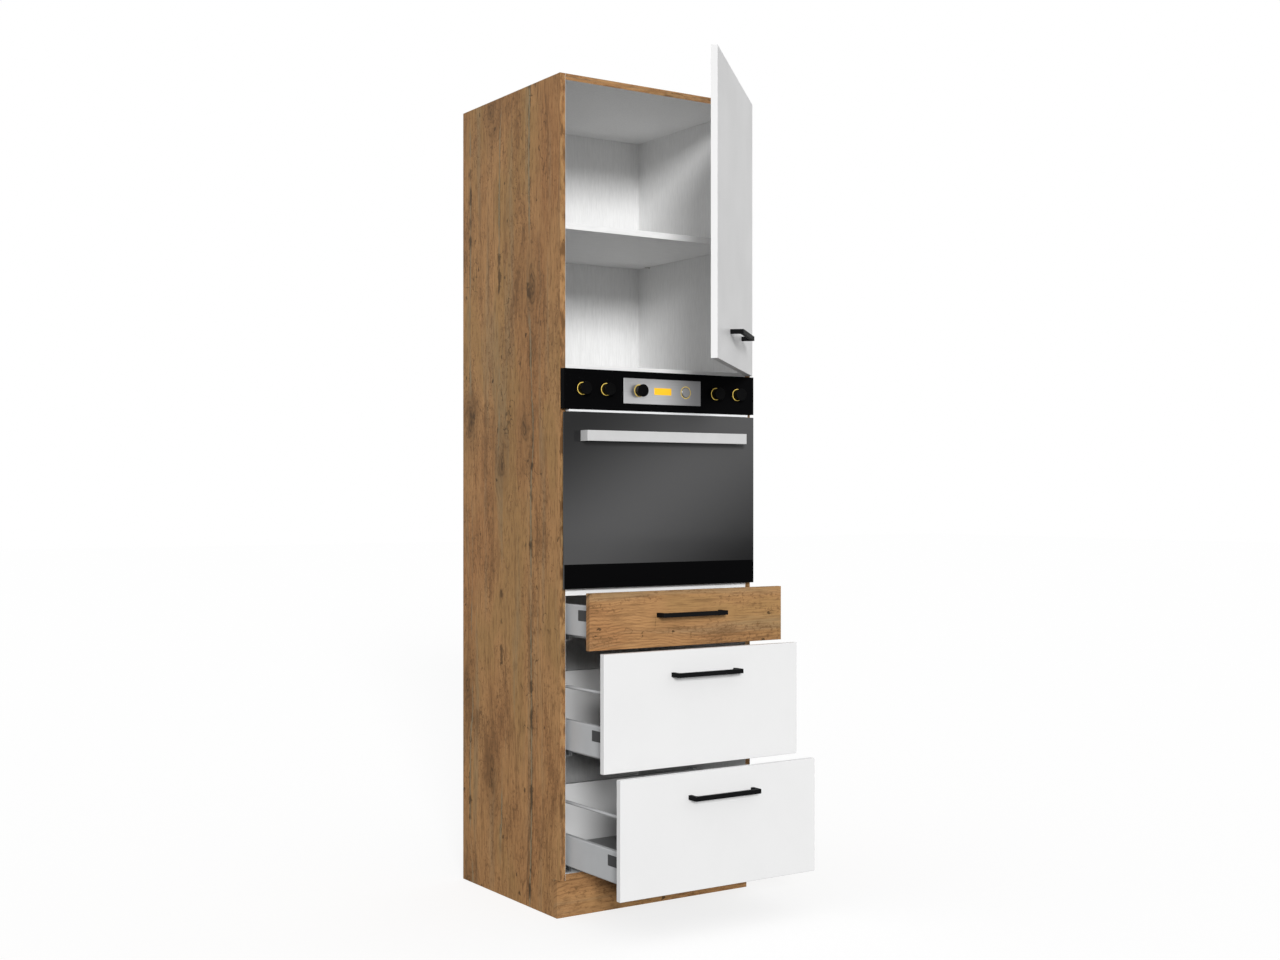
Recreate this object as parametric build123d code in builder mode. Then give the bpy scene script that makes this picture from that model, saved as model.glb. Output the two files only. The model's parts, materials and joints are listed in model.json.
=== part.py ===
"""Tall oven housing cabinet: carcass, built-in oven, one hinged door and three pull-out drawers.

Millimetres, +Z up. The origin is on the floor at the middle of the plinth's front face, the fronts face -Y.
The rest pose has the door partly open and the drawers partly pulled out.
"""
import os
from math import atan2, cos, degrees, hypot, radians, sin

from build123d import *

os.makedirs("parts", exist_ok=True)

# Carcass boards
WIDTH = 600
HEIGHT = 2130
DEPTH = 526
BOARD = 16
BACK_BOARD = 3
BACK_LAP = 9
BACK_PLAY = 0.5
PLINTH_HEIGHT = 97
PLINTH_SETBACK = 15
DRAWER_BAY = 701
OVEN_BAY = 552
SHELF_RISE = 343
SHELF_SETBACK = 10
SHELF_PLAY = 1

# Fronts
FRONT_BOARD = 16
FRONT_GAP = 2
FRONT_MARGIN = 2
FRONT_LOW = 4
FRONT_REVEAL = 3
SMALL_FRONT = 141
LARGE_FRONT = 289.5
DOOR_OVERLAP = 8
DOOR_TOP_MARGIN = 3
FRONT_ROUND = 1

# Rest pose
DOOR_OPEN = 44.5
TOP_DRAWER_PULL = 120
MIDDLE_DRAWER_PULL = 185
LOW_DRAWER_PULL = 258

# Bar handles
HANDLE_LENGTH = 200
HANDLE_REACH = 33
HANDLE_TALL = 11
HANDLE_BAR = 9
HANDLE_CORNER = 2.5
HANDLE_INNER_CORNER = 6
HANDLE_BELOW_TOP = 60
DOOR_HANDLE_RISE = 82

# Fittings of the carcass
PIN_RADIUS = 2.5
PIN_PLAY = 0.05
PIN_IN = 9
PIN_OUT = 12
PIN_SPADE = 3
FITTING_INSET = 60
CAM_RADIUS = 7.5
CAM_DEPTH = 12.5
CAM_PLAY = 0.1
CAM_FROM_END = 24
BRACKET_LEG = 32
BRACKET_WIDTH = 40
BRACKET_SHEET = 2
BRACKET_SPACING = 440
BRACKET_HOLE = 3

# Concealed door hinges
HINGE_FROM_END = 100
ARM_PIVOT_IN = 25
ARM_PIVOT_BACK = 3
ARM_PIVOT_BOSS = 4.2
ARM_HALF = 6.8
ARM_SEAT = 9
ARM_LENGTH = 72
ARM_NECK = 24
PLATE_THICK = 8
PLATE_START = 26
PLATE_LENGTH = 42
PLATE_HALF = 8
PLATE_WING = 25
PLATE_WING_THICK = 2.5
PLATE_WING_LENGTH = 16
CUP_RADIUS = 17.5
CUP_DEPTH = 11.5
CUP_WALL = 1.2
CUP_PLAY = 0.1
CUP_FROM_EDGE = 22
CUP_PIVOT_FROM_EDGE = 14.5
CUP_PIVOT_DEPTH = 2
CUP_LUG = 3
CUP_LUG_THICK = 2.5
CUP_WING_WIDTH = 14
CUP_WING_REACH = 31
CUP_WING_THICK = 1.2
LINK_HALF = 4.5
LINK_RADIUS = 2.4
LINK_PLAY = 0.3
LINK_SHARE = -0.475
HINGE_PIN = 1.5
HINGE_PIN_FIT = 0.02
HINGE_RUN_FIT = 0.06

# Drawer boxes and their runners
DRAWER_REAR_SPACE = 48
SIDE_HEIGHT = 78
SIDE_LIFT = 28.5
SIDE_GAP = 13
SIDE_THICK = 14.2
SIDE_SHEET = 1.2
SIDE_ROUND = 3
FLANGE_DROP = 5.2
FLANGE_WIDTH = 17
BOTTOM_BOARD = 16
BOTTOM_PLAY = 0.3
BACK_RISE = 167
RAIL_RISE = 160
RAIL_RADIUS = 4
BRACKET_RISE = 172
RUNNER_FRONT = 8
RUNNER_SHORT = 10
RUNNER_DROP = 14
RUNNER_PLATE = 20
RUNNER_SHEET = 1.5
TRACK_HALF = 3
TRACK_TOP = 26.8
SLIDE_SHORT = 40
SLIDE_SHEET = 1
SLIDE_PLAY = 0.5
SLIDE_LOW = 2
SLIDE_LIFT = 0.4

# Built-in oven
OVEN_MARGIN = 1
OVEN_PROUD = 18
OVEN_LOW = 1.5
OVEN_TOP_LAP = 4.5
PANEL_HEIGHT = 101.5
PANEL_SLOT = 7.5
FRAME_SHEET = 2
FRAME_PLAY = 2
CASING_SIDE_PLAY = 6
CASING_TOP_PLAY = 12
CASING_REAR_SPACE = 35
CASING_SHEET = 2
CAVITY_SIDE_SPACE = 53
CAVITY_TOP_SPACE = 136
CAVITY_REAR_SPACE = 80
CAVITY_SHEET = 2
CAVITY_RISE = 44
CAVITY_ROUND = 12
RACK_LEVELS = 4
RACK_PITCH = 70
RACK_FIRST = 60
RACK_RIB = 6
RACK_RIB_TALL = 5
GASKET_WIDTH = 8
GASKET_THICK = 3
GLASS_THICK = 4.5
DOOR_FRAME_INSET = 19
DOOR_FRAME_LOW = 4.5
DOOR_FRAME_BAR = 62
INNER_GLASS_THICK = 4
INNER_GLASS_LAP = 7
OVEN_AXIS_IN = 8
OVEN_AXIS_RISE = 7
OVEN_HINGE_INSET = 18
OVEN_LUG = 4
OVEN_LUG_RADIUS = 3
OVEN_LUG_PLAY = 0.5
OVEN_PIN = 1.8
OVEN_HANDLE_INSET = 49
OVEN_HANDLE_REACH = 33.5
OVEN_HANDLE_TALL = 27
OVEN_HANDLE_BAR = 9
OVEN_HANDLE_BELOW_TOP = 60
PLATE_WIDTH = 243
PLATE_HEIGHT = 66
PLATE_CORNER = 2
PLATE_PROUD = 1.5
PLATE_BEVEL = 0.6
DISPLAY_WIDTH = 54
DISPLAY_HEIGHT = 18
KNOB_FROM_END = 55
KNOB_PITCH = 71
PLATE_CONTROL = 73
CONTROL_RISE = 52
KNOB_RADIUS = 16.5
KNOB_LENGTH = 19
KNOB_FLARE = 3
KNOB_ROUND = 1.5
KNOB_LIFT = 0.5
SHAFT_RADIUS = 3
SHAFT_LENGTH = 11
SHAFT_FIT = 0.05
BUTTON_RADIUS = 13
BUTTON_PROUD = 2.5
BUTTON_DEPTH = 7
BUTTON_TRAVEL = 2
BUTTON_FIT = 0.1
FAN_RADIUS = 105
FAN_COVER = 6
FAN_VENTS = 10
ELEMENT_RADIUS = 3.5
ELEMENT_DROP = 22
ELEMENT_BEND = 30
ELEMENT_INSET = 50
VENT_COUNT = 9
VENT_PITCH = 40
VENT_WIDTH = 6
VENT_LENGTH = 70

# Places worked out from the sizes above
FRONT = -PLINTH_SETBACK
REAR = FRONT + DEPTH
INNER_X = WIDTH / 2 - BOARD
PANEL_REAR = REAR - BACK_BOARD
FLOOR_BOARD_TOP = PLINTH_HEIGHT + BOARD
LOW_SHELF = FLOOR_BOARD_TOP + DRAWER_BAY
OVEN_FLOOR = LOW_SHELF + BOARD
HIGH_SHELF = OVEN_FLOOR + OVEN_BAY
UPPER_FLOOR = HIGH_SHELF + BOARD
LOOSE_SHELF = UPPER_FLOOR + SHELF_RISE
FRONT_WIDTH = WIDTH - 2 * FRONT_MARGIN
FRONT_BACK_FACE = FRONT - FRONT_GAP
FRONT_FACE = FRONT_BACK_FACE - FRONT_BOARD
DOOR_BOTTOM = UPPER_FLOOR - DOOR_OVERLAP
DOOR_HEIGHT = HEIGHT - DOOR_TOP_MARGIN - DOOR_BOTTOM
DRAWER_LENGTH = REAR - DRAWER_REAR_SPACE - FRONT_BACK_FACE
RUNNER_LENGTH = DRAWER_LENGTH - RUNNER_SHORT
SLIDE_LENGTH = DRAWER_LENGTH - SLIDE_SHORT


def save(piece, name):
    """Label a finished piece and write it under its node's name."""
    piece.part.label = name
    export_step(piece.part, f"parts/{name}.step")


def make_block(x, y, z):
    """A plain board between the given pairs of limits along X, Y and Z."""
    with BuildPart() as block:
        with BuildSketch(Plane.XY.offset(z[0])):
            with Locations(((x[0] + x[1]) / 2, (y[0] + y[1]) / 2)):
                Rectangle(x[1] - x[0], y[1] - y[0])
        extrude(amount=z[1] - z[0])
    return block


# Side panels: oak boards down to the floor, notched for the plinth and rebated for the back
NOTCH = FRONT + PLINTH_SETBACK + BOARD
PIN_ROWS = (FRONT + FITTING_INSET, REAR - FITTING_INSET)
PIN_AXIS = LOOSE_SHELF - PIN_RADIUS
for name, outer, inner in (("side_left", -WIDTH / 2, -INNER_X), ("side_right", WIDTH / 2, INNER_X)):
    outward = 1 if outer > 0 else -1
    with BuildPart() as side:
        with BuildSketch(Plane.YZ.offset(min(outer, inner))):
            with BuildLine():
                Polyline(
                    (FRONT, PLINTH_HEIGHT),
                    (FRONT, HEIGHT),
                    (REAR, HEIGHT),
                    (REAR, 0),
                    (NOTCH, 0),
                    (NOTCH, PLINTH_HEIGHT),
                    close=True,
                )
            make_face()
        extrude(amount=BOARD)
        with BuildSketch():
            with Locations((inner + outward * (BACK_LAP + BACK_PLAY) / 2, REAR - BACK_BOARD / 2)):
                Rectangle(BACK_LAP + BACK_PLAY, BACK_BOARD)
        extrude(amount=HEIGHT, mode=Mode.SUBTRACT)
        with BuildSketch(Plane.YZ.offset(inner)):
            with Locations(*[(row, PIN_AXIS) for row in PIN_ROWS]):
                Circle(PIN_RADIUS + PIN_PLAY)
        extrude(amount=outward * PIN_IN, mode=Mode.SUBTRACT)
    save(side, name)

# Fixed horizontal boards between the sides, each bored for four eccentric connectors
CAM_SPOTS = [
    (x, y)
    for x in (-INNER_X + CAM_FROM_END, INNER_X - CAM_FROM_END)
    for y in (FRONT + FITTING_INSET, PANEL_REAR - FITTING_INSET)
]
FIXED_BOARDS = {
    "bottom_panel": PLINTH_HEIGHT,
    "oven_shelf_lower": LOW_SHELF,
    "oven_shelf_upper": HIGH_SHELF,
    "top_panel": HEIGHT - BOARD,
}
CAM_FACES = []
for name, low in FIXED_BOARDS.items():
    opens_up = name == "top_panel"
    face = low + BOARD if opens_up else low
    into = -1 if opens_up else 1
    CAM_FACES.append((face, into))
    with BuildPart() as panel:
        with BuildSketch(Plane.XY.offset(low)):
            with Locations((0, (FRONT + PANEL_REAR) / 2)):
                Rectangle(2 * INNER_X, PANEL_REAR - FRONT)
        extrude(amount=BOARD)
        with BuildSketch(Plane.XY.offset(face)):
            with Locations(*CAM_SPOTS):
                Circle(CAM_RADIUS + CAM_PLAY)
        extrude(amount=into * CAM_DEPTH, mode=Mode.SUBTRACT)
    save(panel, name)

with BuildPart() as cam_locks:
    for face, into in CAM_FACES:
        with BuildSketch(Plane.XY.offset(face)):
            with Locations(*CAM_SPOTS):
                Circle(CAM_RADIUS)
        extrude(amount=into * CAM_DEPTH)
save(cam_locks, "cam_locks")

# Adjustable shelf on four spade pins
shelf_x = INNER_X - SHELF_PLAY
adjustable_shelf = make_block(
    (-shelf_x, shelf_x), (FRONT + SHELF_SETBACK, PANEL_REAR - SHELF_PLAY), (LOOSE_SHELF, LOOSE_SHELF + BOARD)
)
save(adjustable_shelf, "adjustable_shelf")

with BuildPart() as shelf_pins:
    for sign in (-1, 1):
        wall = Plane.YZ.offset(sign * INNER_X)
        spots = [(row, PIN_AXIS) for row in PIN_ROWS]
        with BuildSketch(wall):
            with Locations(*spots):
                Circle(PIN_RADIUS)
        extrude(amount=sign * PIN_IN)
        with BuildSketch(wall):
            with Locations(*[(row, LOOSE_SHELF - PIN_SPADE / 2) for row in PIN_ROWS]):
                Rectangle(2 * PIN_RADIUS + PIN_OUT / 2, PIN_SPADE)
        extrude(amount=-sign * PIN_OUT)
save(shelf_pins, "shelf_pins")

# Thin backs in the rebates; the oven bay between them stays open for air
BACK_X = INNER_X + BACK_LAP
back_lower = make_block((-BACK_X, BACK_X), (PANEL_REAR, REAR), (PLINTH_HEIGHT, OVEN_FLOOR))
save(back_lower, "back_panel_lower")
back_upper = make_block((-BACK_X, BACK_X), (PANEL_REAR, REAR), (HIGH_SHELF, HEIGHT))
save(back_upper, "back_panel_upper")

# Plinth board across the notches of both sides
plinth = make_block((-WIDTH / 2, WIDTH / 2), (NOTCH - BOARD, NOTCH), (0, PLINTH_HEIGHT))
save(plinth, "plinth")

# Wall brackets: bent angles on the top board, each with one hole for a wall screw
with BuildPart() as wall_brackets:
    for middle in (-BRACKET_SPACING / 2, BRACKET_SPACING / 2):
        with BuildSketch(Plane.YZ.offset(middle - BRACKET_WIDTH / 2)):
            with BuildLine():
                Polyline(
                    (REAR, HEIGHT),
                    (REAR - BRACKET_LEG, HEIGHT),
                    (REAR - BRACKET_LEG, HEIGHT + BRACKET_SHEET),
                    (REAR - BRACKET_SHEET, HEIGHT + BRACKET_SHEET),
                    (REAR - BRACKET_SHEET, HEIGHT + BRACKET_LEG),
                    (REAR, HEIGHT + BRACKET_LEG),
                    close=True,
                )
            make_face()
        extrude(amount=BRACKET_WIDTH)
        with BuildSketch(Plane.XZ.offset(-REAR)):
            with Locations((middle, HEIGHT + (BRACKET_LEG + BRACKET_SHEET) / 2)):
                Circle(BRACKET_HOLE)
        extrude(amount=BRACKET_SHEET, mode=Mode.SUBTRACT)
save(wall_brackets, "wall_brackets")


# Door hinges: an arm on the side panel, a swinging link and a cup let into the door
def turned(point, centre, angle):
    """A plan point turned about a centre by an angle in degrees."""
    c = cos(radians(angle))
    s = sin(radians(angle))
    dx = point[0] - centre[0]
    dy = point[1] - centre[1]
    return (centre[0] + c * dx - s * dy, centre[1] + s * dx + c * dy)


DOOR_EDGE = FRONT_WIDTH / 2
ARM_PIVOT = (INNER_X - ARM_PIVOT_IN, FRONT + ARM_PIVOT_BACK)
CUP_PIVOT_SHUT = (DOOR_EDGE - CUP_PIVOT_FROM_EDGE, FRONT_BACK_FACE - CUP_PIVOT_DEPTH)
LINK_LENGTH = hypot(CUP_PIVOT_SHUT[0] - ARM_PIVOT[0], CUP_PIVOT_SHUT[1] - ARM_PIVOT[1])
CUP_PIVOT = turned(CUP_PIVOT_SHUT, ARM_PIVOT, LINK_SHARE * DOOR_OPEN)
HINGE_HEIGHTS = (DOOR_BOTTOM + HINGE_FROM_END, DOOR_BOTTOM + DOOR_HEIGHT - HINGE_FROM_END)
DOOR_ALONG = (cos(radians(DOOR_OPEN)), sin(radians(DOOR_OPEN)), 0)
DOOR_INWARD = (-sin(radians(DOOR_OPEN)), cos(radians(DOOR_OPEN)), 0)
door_plane = Plane(origin=(CUP_PIVOT[0], CUP_PIVOT[1], 0), x_dir=DOOR_ALONG, z_dir=(0, 0, 1))
link_way = (CUP_PIVOT[0] - ARM_PIVOT[0], CUP_PIVOT[1] - ARM_PIVOT[1], 0)
link_plane = Plane(origin=(ARM_PIVOT[0], ARM_PIVOT[1], 0), x_dir=link_way, z_dir=(0, 0, 1))
CUP_MIDDLE = DOOR_EDGE - CUP_FROM_EDGE
CUP_FLOOR = CUP_PIVOT_DEPTH - CUP_DEPTH + CUP_WALL


def on_door(x, y):
    """Place on the turned door plane of a plan point given for the shut door."""
    return (x - CUP_PIVOT_SHUT[0], y - CUP_PIVOT_SHUT[1])


def cup_plane(height):
    """Plane on the door's inner face at a hinge cup, its normal pointing into the cabinet when shut."""
    x, y = on_door(CUP_MIDDLE, FRONT_BACK_FACE)
    middle = door_plane.from_local_coords((x, y, height))
    return Plane(origin=middle, x_dir=DOOR_ALONG, z_dir=DOOR_INWARD)


with BuildPart() as door_panel:
    with BuildSketch(door_plane.offset(DOOR_BOTTOM)):
        with Locations(on_door(0, (FRONT_FACE + FRONT_BACK_FACE) / 2)):
            Rectangle(FRONT_WIDTH, FRONT_BOARD)
    extrude(amount=DOOR_HEIGHT)
    outward = Axis(origin=(0, 0, 0), direction=DOOR_INWARD)
    fillet(door_panel.faces().sort_by(outward)[0].edges(), FRONT_ROUND)
    for height in HINGE_HEIGHTS:
        with BuildSketch(cup_plane(height)):
            Circle(CUP_RADIUS + CUP_PLAY)
        extrude(amount=-CUP_DEPTH, mode=Mode.SUBTRACT)
save(door_panel, "door_panel")

with BuildPart() as hinge_plates:
    for height in HINGE_HEIGHTS:
        with BuildSketch(Plane.XY.offset(height - PLATE_HALF)):
            with Locations((INNER_X - PLATE_THICK / 2, FRONT + PLATE_START + PLATE_LENGTH / 2)):
                Rectangle(PLATE_THICK, PLATE_LENGTH)
        extrude(amount=2 * PLATE_HALF)
        with BuildSketch(Plane.XY.offset(height - PLATE_WING)):
            with Locations((INNER_X - PLATE_WING_THICK / 2, FRONT + PLATE_START + PLATE_WING_LENGTH / 2)):
                Rectangle(PLATE_WING_THICK, PLATE_WING_LENGTH)
        extrude(amount=2 * PLATE_WING)
save(hinge_plates, "hinge_plates")

ARM_TOP = INNER_X - PLATE_THICK
with BuildPart() as hinge_arms:
    for height in HINGE_HEIGHTS:
        low = Plane.XY.offset(height - ARM_HALF)
        with BuildSketch(low):
            with Locations(ARM_PIVOT):
                Circle(ARM_PIVOT_BOSS)
            with Locations((ARM_TOP - ARM_SEAT / 2, FRONT + ARM_NECK)):
                Circle(ARM_SEAT / 2)
            make_hull()
            with Locations((ARM_TOP - ARM_SEAT / 2, FRONT + (ARM_NECK + ARM_LENGTH) / 2)):
                Rectangle(ARM_SEAT, ARM_LENGTH - ARM_NECK)
            with Locations(ARM_PIVOT):
                Circle(HINGE_PIN + HINGE_PIN_FIT, mode=Mode.SUBTRACT)
        extrude(amount=2 * ARM_HALF)
        with BuildSketch(Plane.XY.offset(height - LINK_HALF - LINK_PLAY)):
            with Locations(ARM_PIVOT):
                Rectangle(4 * ARM_PIVOT_BOSS, 2 * ARM_PIVOT_BOSS + LINK_PLAY)
        extrude(amount=2 * (LINK_HALF + LINK_PLAY), mode=Mode.SUBTRACT)
        with BuildSketch(low):
            with Locations(ARM_PIVOT):
                Circle(HINGE_PIN)
        extrude(amount=2 * ARM_HALF)
save(hinge_arms, "hinge_arms")

with BuildPart() as hinge_links:
    for height in HINGE_HEIGHTS:
        with BuildSketch(link_plane.offset(height - LINK_HALF)):
            with Locations((LINK_LENGTH / 2, 0)):
                SlotCenterToCenter(LINK_LENGTH, 2 * LINK_RADIUS)
            with Locations((0, 0), (LINK_LENGTH, 0)):
                Circle(HINGE_PIN + HINGE_RUN_FIT, mode=Mode.SUBTRACT)
        extrude(amount=2 * LINK_HALF)
save(hinge_links, "hinge_links")

LUG_START = LINK_HALF + LINK_PLAY
with BuildPart() as hinge_cups:
    for height in HINGE_HEIGHTS:
        mouth = cup_plane(height)
        with BuildSketch(mouth):
            Circle(CUP_RADIUS)
        extrude(amount=-CUP_DEPTH)
        with BuildSketch(mouth):
            Circle(CUP_RADIUS - CUP_WALL)
        extrude(amount=-(CUP_DEPTH - CUP_WALL), mode=Mode.SUBTRACT)
        with BuildSketch(mouth):
            Rectangle(CUP_WING_WIDTH, 2 * CUP_WING_REACH)
            Circle(CUP_RADIUS - CUP_WALL, mode=Mode.SUBTRACT)
        extrude(amount=CUP_WING_THICK)
        for low in (height + LUG_START, height - LUG_START - CUP_LUG_THICK):
            with BuildSketch(door_plane.offset(low)):
                Circle(CUP_LUG)
                with Locations((0, CUP_FLOOR / 2)):
                    Rectangle(2 * CUP_LUG, -CUP_FLOOR)
                Circle(HINGE_PIN + HINGE_PIN_FIT, mode=Mode.SUBTRACT)
            extrude(amount=CUP_LUG_THICK)
        with BuildSketch(door_plane.offset(height - LUG_START - CUP_LUG_THICK)):
            Circle(HINGE_PIN)
        extrude(amount=2 * (LUG_START + CUP_LUG_THICK))
save(hinge_cups, "hinge_cups")


def make_handle(plane, middle, face, height):
    """A square bar bent into a flat U, its feet on a front whose outer face is at the given depth."""
    half = HANDLE_LENGTH / 2
    inner_half = half - HANDLE_BAR
    reach = face - HANDLE_REACH
    inner_reach = reach + HANDLE_BAR
    with BuildPart() as handle:
        with BuildSketch(plane.offset(height - HANDLE_TALL / 2)):
            with BuildLine():
                FilletPolyline(
                    (middle - half, face),
                    (middle - half, reach),
                    (middle + half, reach),
                    (middle + half, face),
                    radius=HANDLE_CORNER,
                )
                Line((middle + half, face), (middle + inner_half, face))
                FilletPolyline(
                    (middle + inner_half, face),
                    (middle + inner_half, inner_reach),
                    (middle - inner_half, inner_reach),
                    (middle - inner_half, face),
                    radius=HANDLE_INNER_CORNER,
                )
                Line((middle - inner_half, face), (middle - half, face))
            make_face()
        extrude(amount=HANDLE_TALL)
    return handle


door_handle_x, door_face = on_door(0, FRONT_FACE)
save(make_handle(door_plane, door_handle_x, door_face, DOOR_BOTTOM + DOOR_HANDLE_RISE), "door_handle")


# Drawers: a front, folded steel sides, a bottom, a back, gallery rails and telescopic runners
TRACK_MIDDLE = SIDE_GAP + SIDE_THICK / 2
BOX_X = INNER_X - SIDE_GAP - SIDE_THICK - BOTTOM_PLAY


def strip(sign, near, far, low, high, mode=Mode.ADD):
    """A rectangle of a cross-section, placed by its distances from the side panel and its heights."""
    with Locations((sign * (INNER_X - (near + far) / 2), (low + high) / 2)):
        Rectangle(far - near, high - low, mode=mode)


def make_drawer_sides(base, start, end):
    """Two double-walled steel sides, open below over their runners, with a flange under the bottom."""
    inner_face = SIDE_GAP + SIDE_THICK
    seat = base + TRACK_TOP + 2 * SLIDE_LIFT + SLIDE_SHEET
    with BuildPart() as sides:
        for sign in (-1, 1):
            with BuildSketch(Plane.XZ.offset(-end)) as section:
                strip(sign, SIDE_GAP, inner_face, base, base + SIDE_HEIGHT)
                fillet(section.vertices().group_by(Axis.Z)[-1], SIDE_ROUND)
                strip(sign, SIDE_GAP + SIDE_SHEET, inner_face - SIDE_SHEET, seat + SIDE_SHEET,
                      base + SIDE_HEIGHT - SIDE_SHEET, mode=Mode.SUBTRACT)
                strip(sign, SIDE_GAP + SIDE_SHEET, inner_face - SIDE_SHEET, base, seat, mode=Mode.SUBTRACT)
                strip(sign, inner_face - SIDE_SHEET, inner_face, base - FLANGE_DROP, seat)
                strip(sign, inner_face - SIDE_SHEET, inner_face + FLANGE_WIDTH, base - FLANGE_DROP,
                      base - FLANGE_DROP + SIDE_SHEET)
            extrude(amount=end - start)
    return sides


def make_slides(base, pull):
    """Middle runner members: two inverted channels that travel half as far as the drawer."""
    half = TRACK_HALF + SLIDE_PLAY
    start = FRONT + RUNNER_FRONT - pull / 2
    top = base + TRACK_TOP + SLIDE_LIFT
    with BuildPart() as slides:
        for sign in (-1, 1):
            with BuildSketch(Plane.XZ.offset(-start - SLIDE_LENGTH)):
                strip(sign, TRACK_MIDDLE - half - SLIDE_SHEET, TRACK_MIDDLE + half + SLIDE_SHEET,
                      base + SLIDE_LOW, top + SLIDE_SHEET)
                strip(sign, TRACK_MIDDLE - half, TRACK_MIDDLE + half, base + SLIDE_LOW, top,
                      mode=Mode.SUBTRACT)
            extrude(amount=SLIDE_LENGTH)
    return slides


def make_gallery(base, start, end):
    """Two round gallery rails, each ending in an upright bracket beside the drawer back."""
    with BuildPart() as gallery:
        for sign in (-1, 1):
            with BuildSketch(Plane.XZ.offset(-end)):
                strip(sign, SIDE_GAP + SIDE_SHEET, INNER_X - BOX_X, base + SIDE_HEIGHT, base + BRACKET_RISE)
            extrude(amount=BOTTOM_BOARD)
            with BuildSketch(Plane.XZ.offset(-end + BOTTOM_BOARD)):
                with Locations((sign * (INNER_X - TRACK_MIDDLE), base + RAIL_RISE)):
                    Circle(RAIL_RADIUS)
            extrude(amount=end - BOTTOM_BOARD - start)
    return gallery


DRAWER_HEIGHTS = (SMALL_FRONT, LARGE_FRONT, LARGE_FRONT)
FIRST_FRONT = PLINTH_HEIGHT + FRONT_LOW
DRAWER_LOWS = (
    FIRST_FRONT + 2 * (LARGE_FRONT + FRONT_REVEAL),
    FIRST_FRONT + LARGE_FRONT + FRONT_REVEAL,
    FIRST_FRONT,
)
DRAWER_PULLS = (TOP_DRAWER_PULL, MIDDLE_DRAWER_PULL, LOW_DRAWER_PULL)
for number, pull in enumerate(DRAWER_PULLS, start=1):
    low = DRAWER_LOWS[number - 1]
    high = low + DRAWER_HEIGHTS[number - 1]
    base = low + SIDE_LIFT
    start = FRONT_BACK_FACE - pull
    end = start + DRAWER_LENGTH
    floor_low = base - FLANGE_DROP + SIDE_SHEET
    floor_top = floor_low + BOTTOM_BOARD
    with_gallery = number > 1
    back_top = base + (BACK_RISE if with_gallery else SIDE_HEIGHT)

    front = make_block((-FRONT_WIDTH / 2, FRONT_WIDTH / 2), (start - FRONT_BOARD, start), (low, high))
    with front:
        fillet(front.faces().sort_by(Axis.Y)[0].edges(), FRONT_ROUND)
    save(front, f"drawer_{number}_front")
    save(make_handle(Plane.XY, 0, start - FRONT_BOARD, high - HANDLE_BELOW_TOP), f"drawer_{number}_handle")
    save(make_drawer_sides(base, start, end), f"drawer_{number}_sides")
    save(make_block((-BOX_X, BOX_X), (start, end), (floor_low, floor_top)), f"drawer_{number}_bottom")
    back = make_block((-BOX_X, BOX_X), (end - BOTTOM_BOARD, end), (floor_top, back_top))
    save(back, f"drawer_{number}_back")
    save(make_slides(base, pull), f"drawer_{number}_slides")
    if with_gallery:
        save(make_gallery(base, start, end), f"drawer_{number}_gallery")

# Cabinet runner members: folded rails on both side panels, reaching in under the drawer sides
runner_end = FRONT + RUNNER_FRONT + RUNNER_LENGTH
track_hollow = TRACK_HALF - RUNNER_SHEET
with BuildPart() as drawer_runners:
    for low in DRAWER_LOWS:
        base = low + SIDE_LIFT
        for sign in (-1, 1):
            with BuildSketch(Plane.XZ.offset(-runner_end)):
                strip(sign, 0, RUNNER_SHEET, base - RUNNER_DROP, base + RUNNER_PLATE)
                strip(sign, 0, TRACK_MIDDLE, base - RUNNER_DROP, base - RUNNER_DROP + RUNNER_SHEET)
                strip(sign, TRACK_MIDDLE - TRACK_HALF, TRACK_MIDDLE + TRACK_HALF, base - RUNNER_DROP,
                      base + TRACK_TOP)
                strip(sign, TRACK_MIDDLE - track_hollow, TRACK_MIDDLE + track_hollow,
                      base - RUNNER_DROP + RUNNER_SHEET, base + TRACK_TOP - RUNNER_SHEET, mode=Mode.SUBTRACT)
            extrude(amount=RUNNER_LENGTH)
save(drawer_runners, "drawer_runners")


# Oven: fixed front frame, casing and cavity
OVEN_FACE = FRONT - OVEN_PROUD
OVEN_BOTTOM = OVEN_FLOOR + OVEN_LOW
OVEN_TOP = HIGH_SHELF + OVEN_TOP_LAP
PANEL_BOTTOM = OVEN_TOP - PANEL_HEIGHT
OVEN_DOOR_TOP = PANEL_BOTTOM - PANEL_SLOT
FRAME_FRONT = FRONT - FRAME_SHEET / 2
FRAME_REAR = FRAME_FRONT + FRAME_SHEET
OVEN_WIDTH = WIDTH - 2 * OVEN_MARGIN
CASING_WIDTH = 2 * (INNER_X - CASING_SIDE_PLAY)
CASING_HEIGHT = OVEN_BAY - CASING_TOP_PLAY
CASING_DEPTH = REAR - CASING_REAR_SPACE - FRAME_REAR
CAVITY_WIDTH = CASING_WIDTH - 2 * CAVITY_SIDE_SPACE
CAVITY_HEIGHT = CASING_HEIGHT - CAVITY_RISE - CAVITY_TOP_SPACE
CAVITY_DEPTH = CASING_DEPTH - CAVITY_REAR_SPACE
CAVITY_LOW = OVEN_FLOOR + CAVITY_RISE
CAVITY_MIDDLE = CAVITY_LOW + CAVITY_HEIGHT / 2
FRAME_LOW = OVEN_FLOOR + FRAME_PLAY
FRAME_HIGH = HIGH_SHELF - FRAME_PLAY


def facing(depth):
    """Upright sketch plane at a depth, X to the right and Z up, its normal towards the viewer."""
    return Plane.XZ.offset(-depth)


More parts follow.
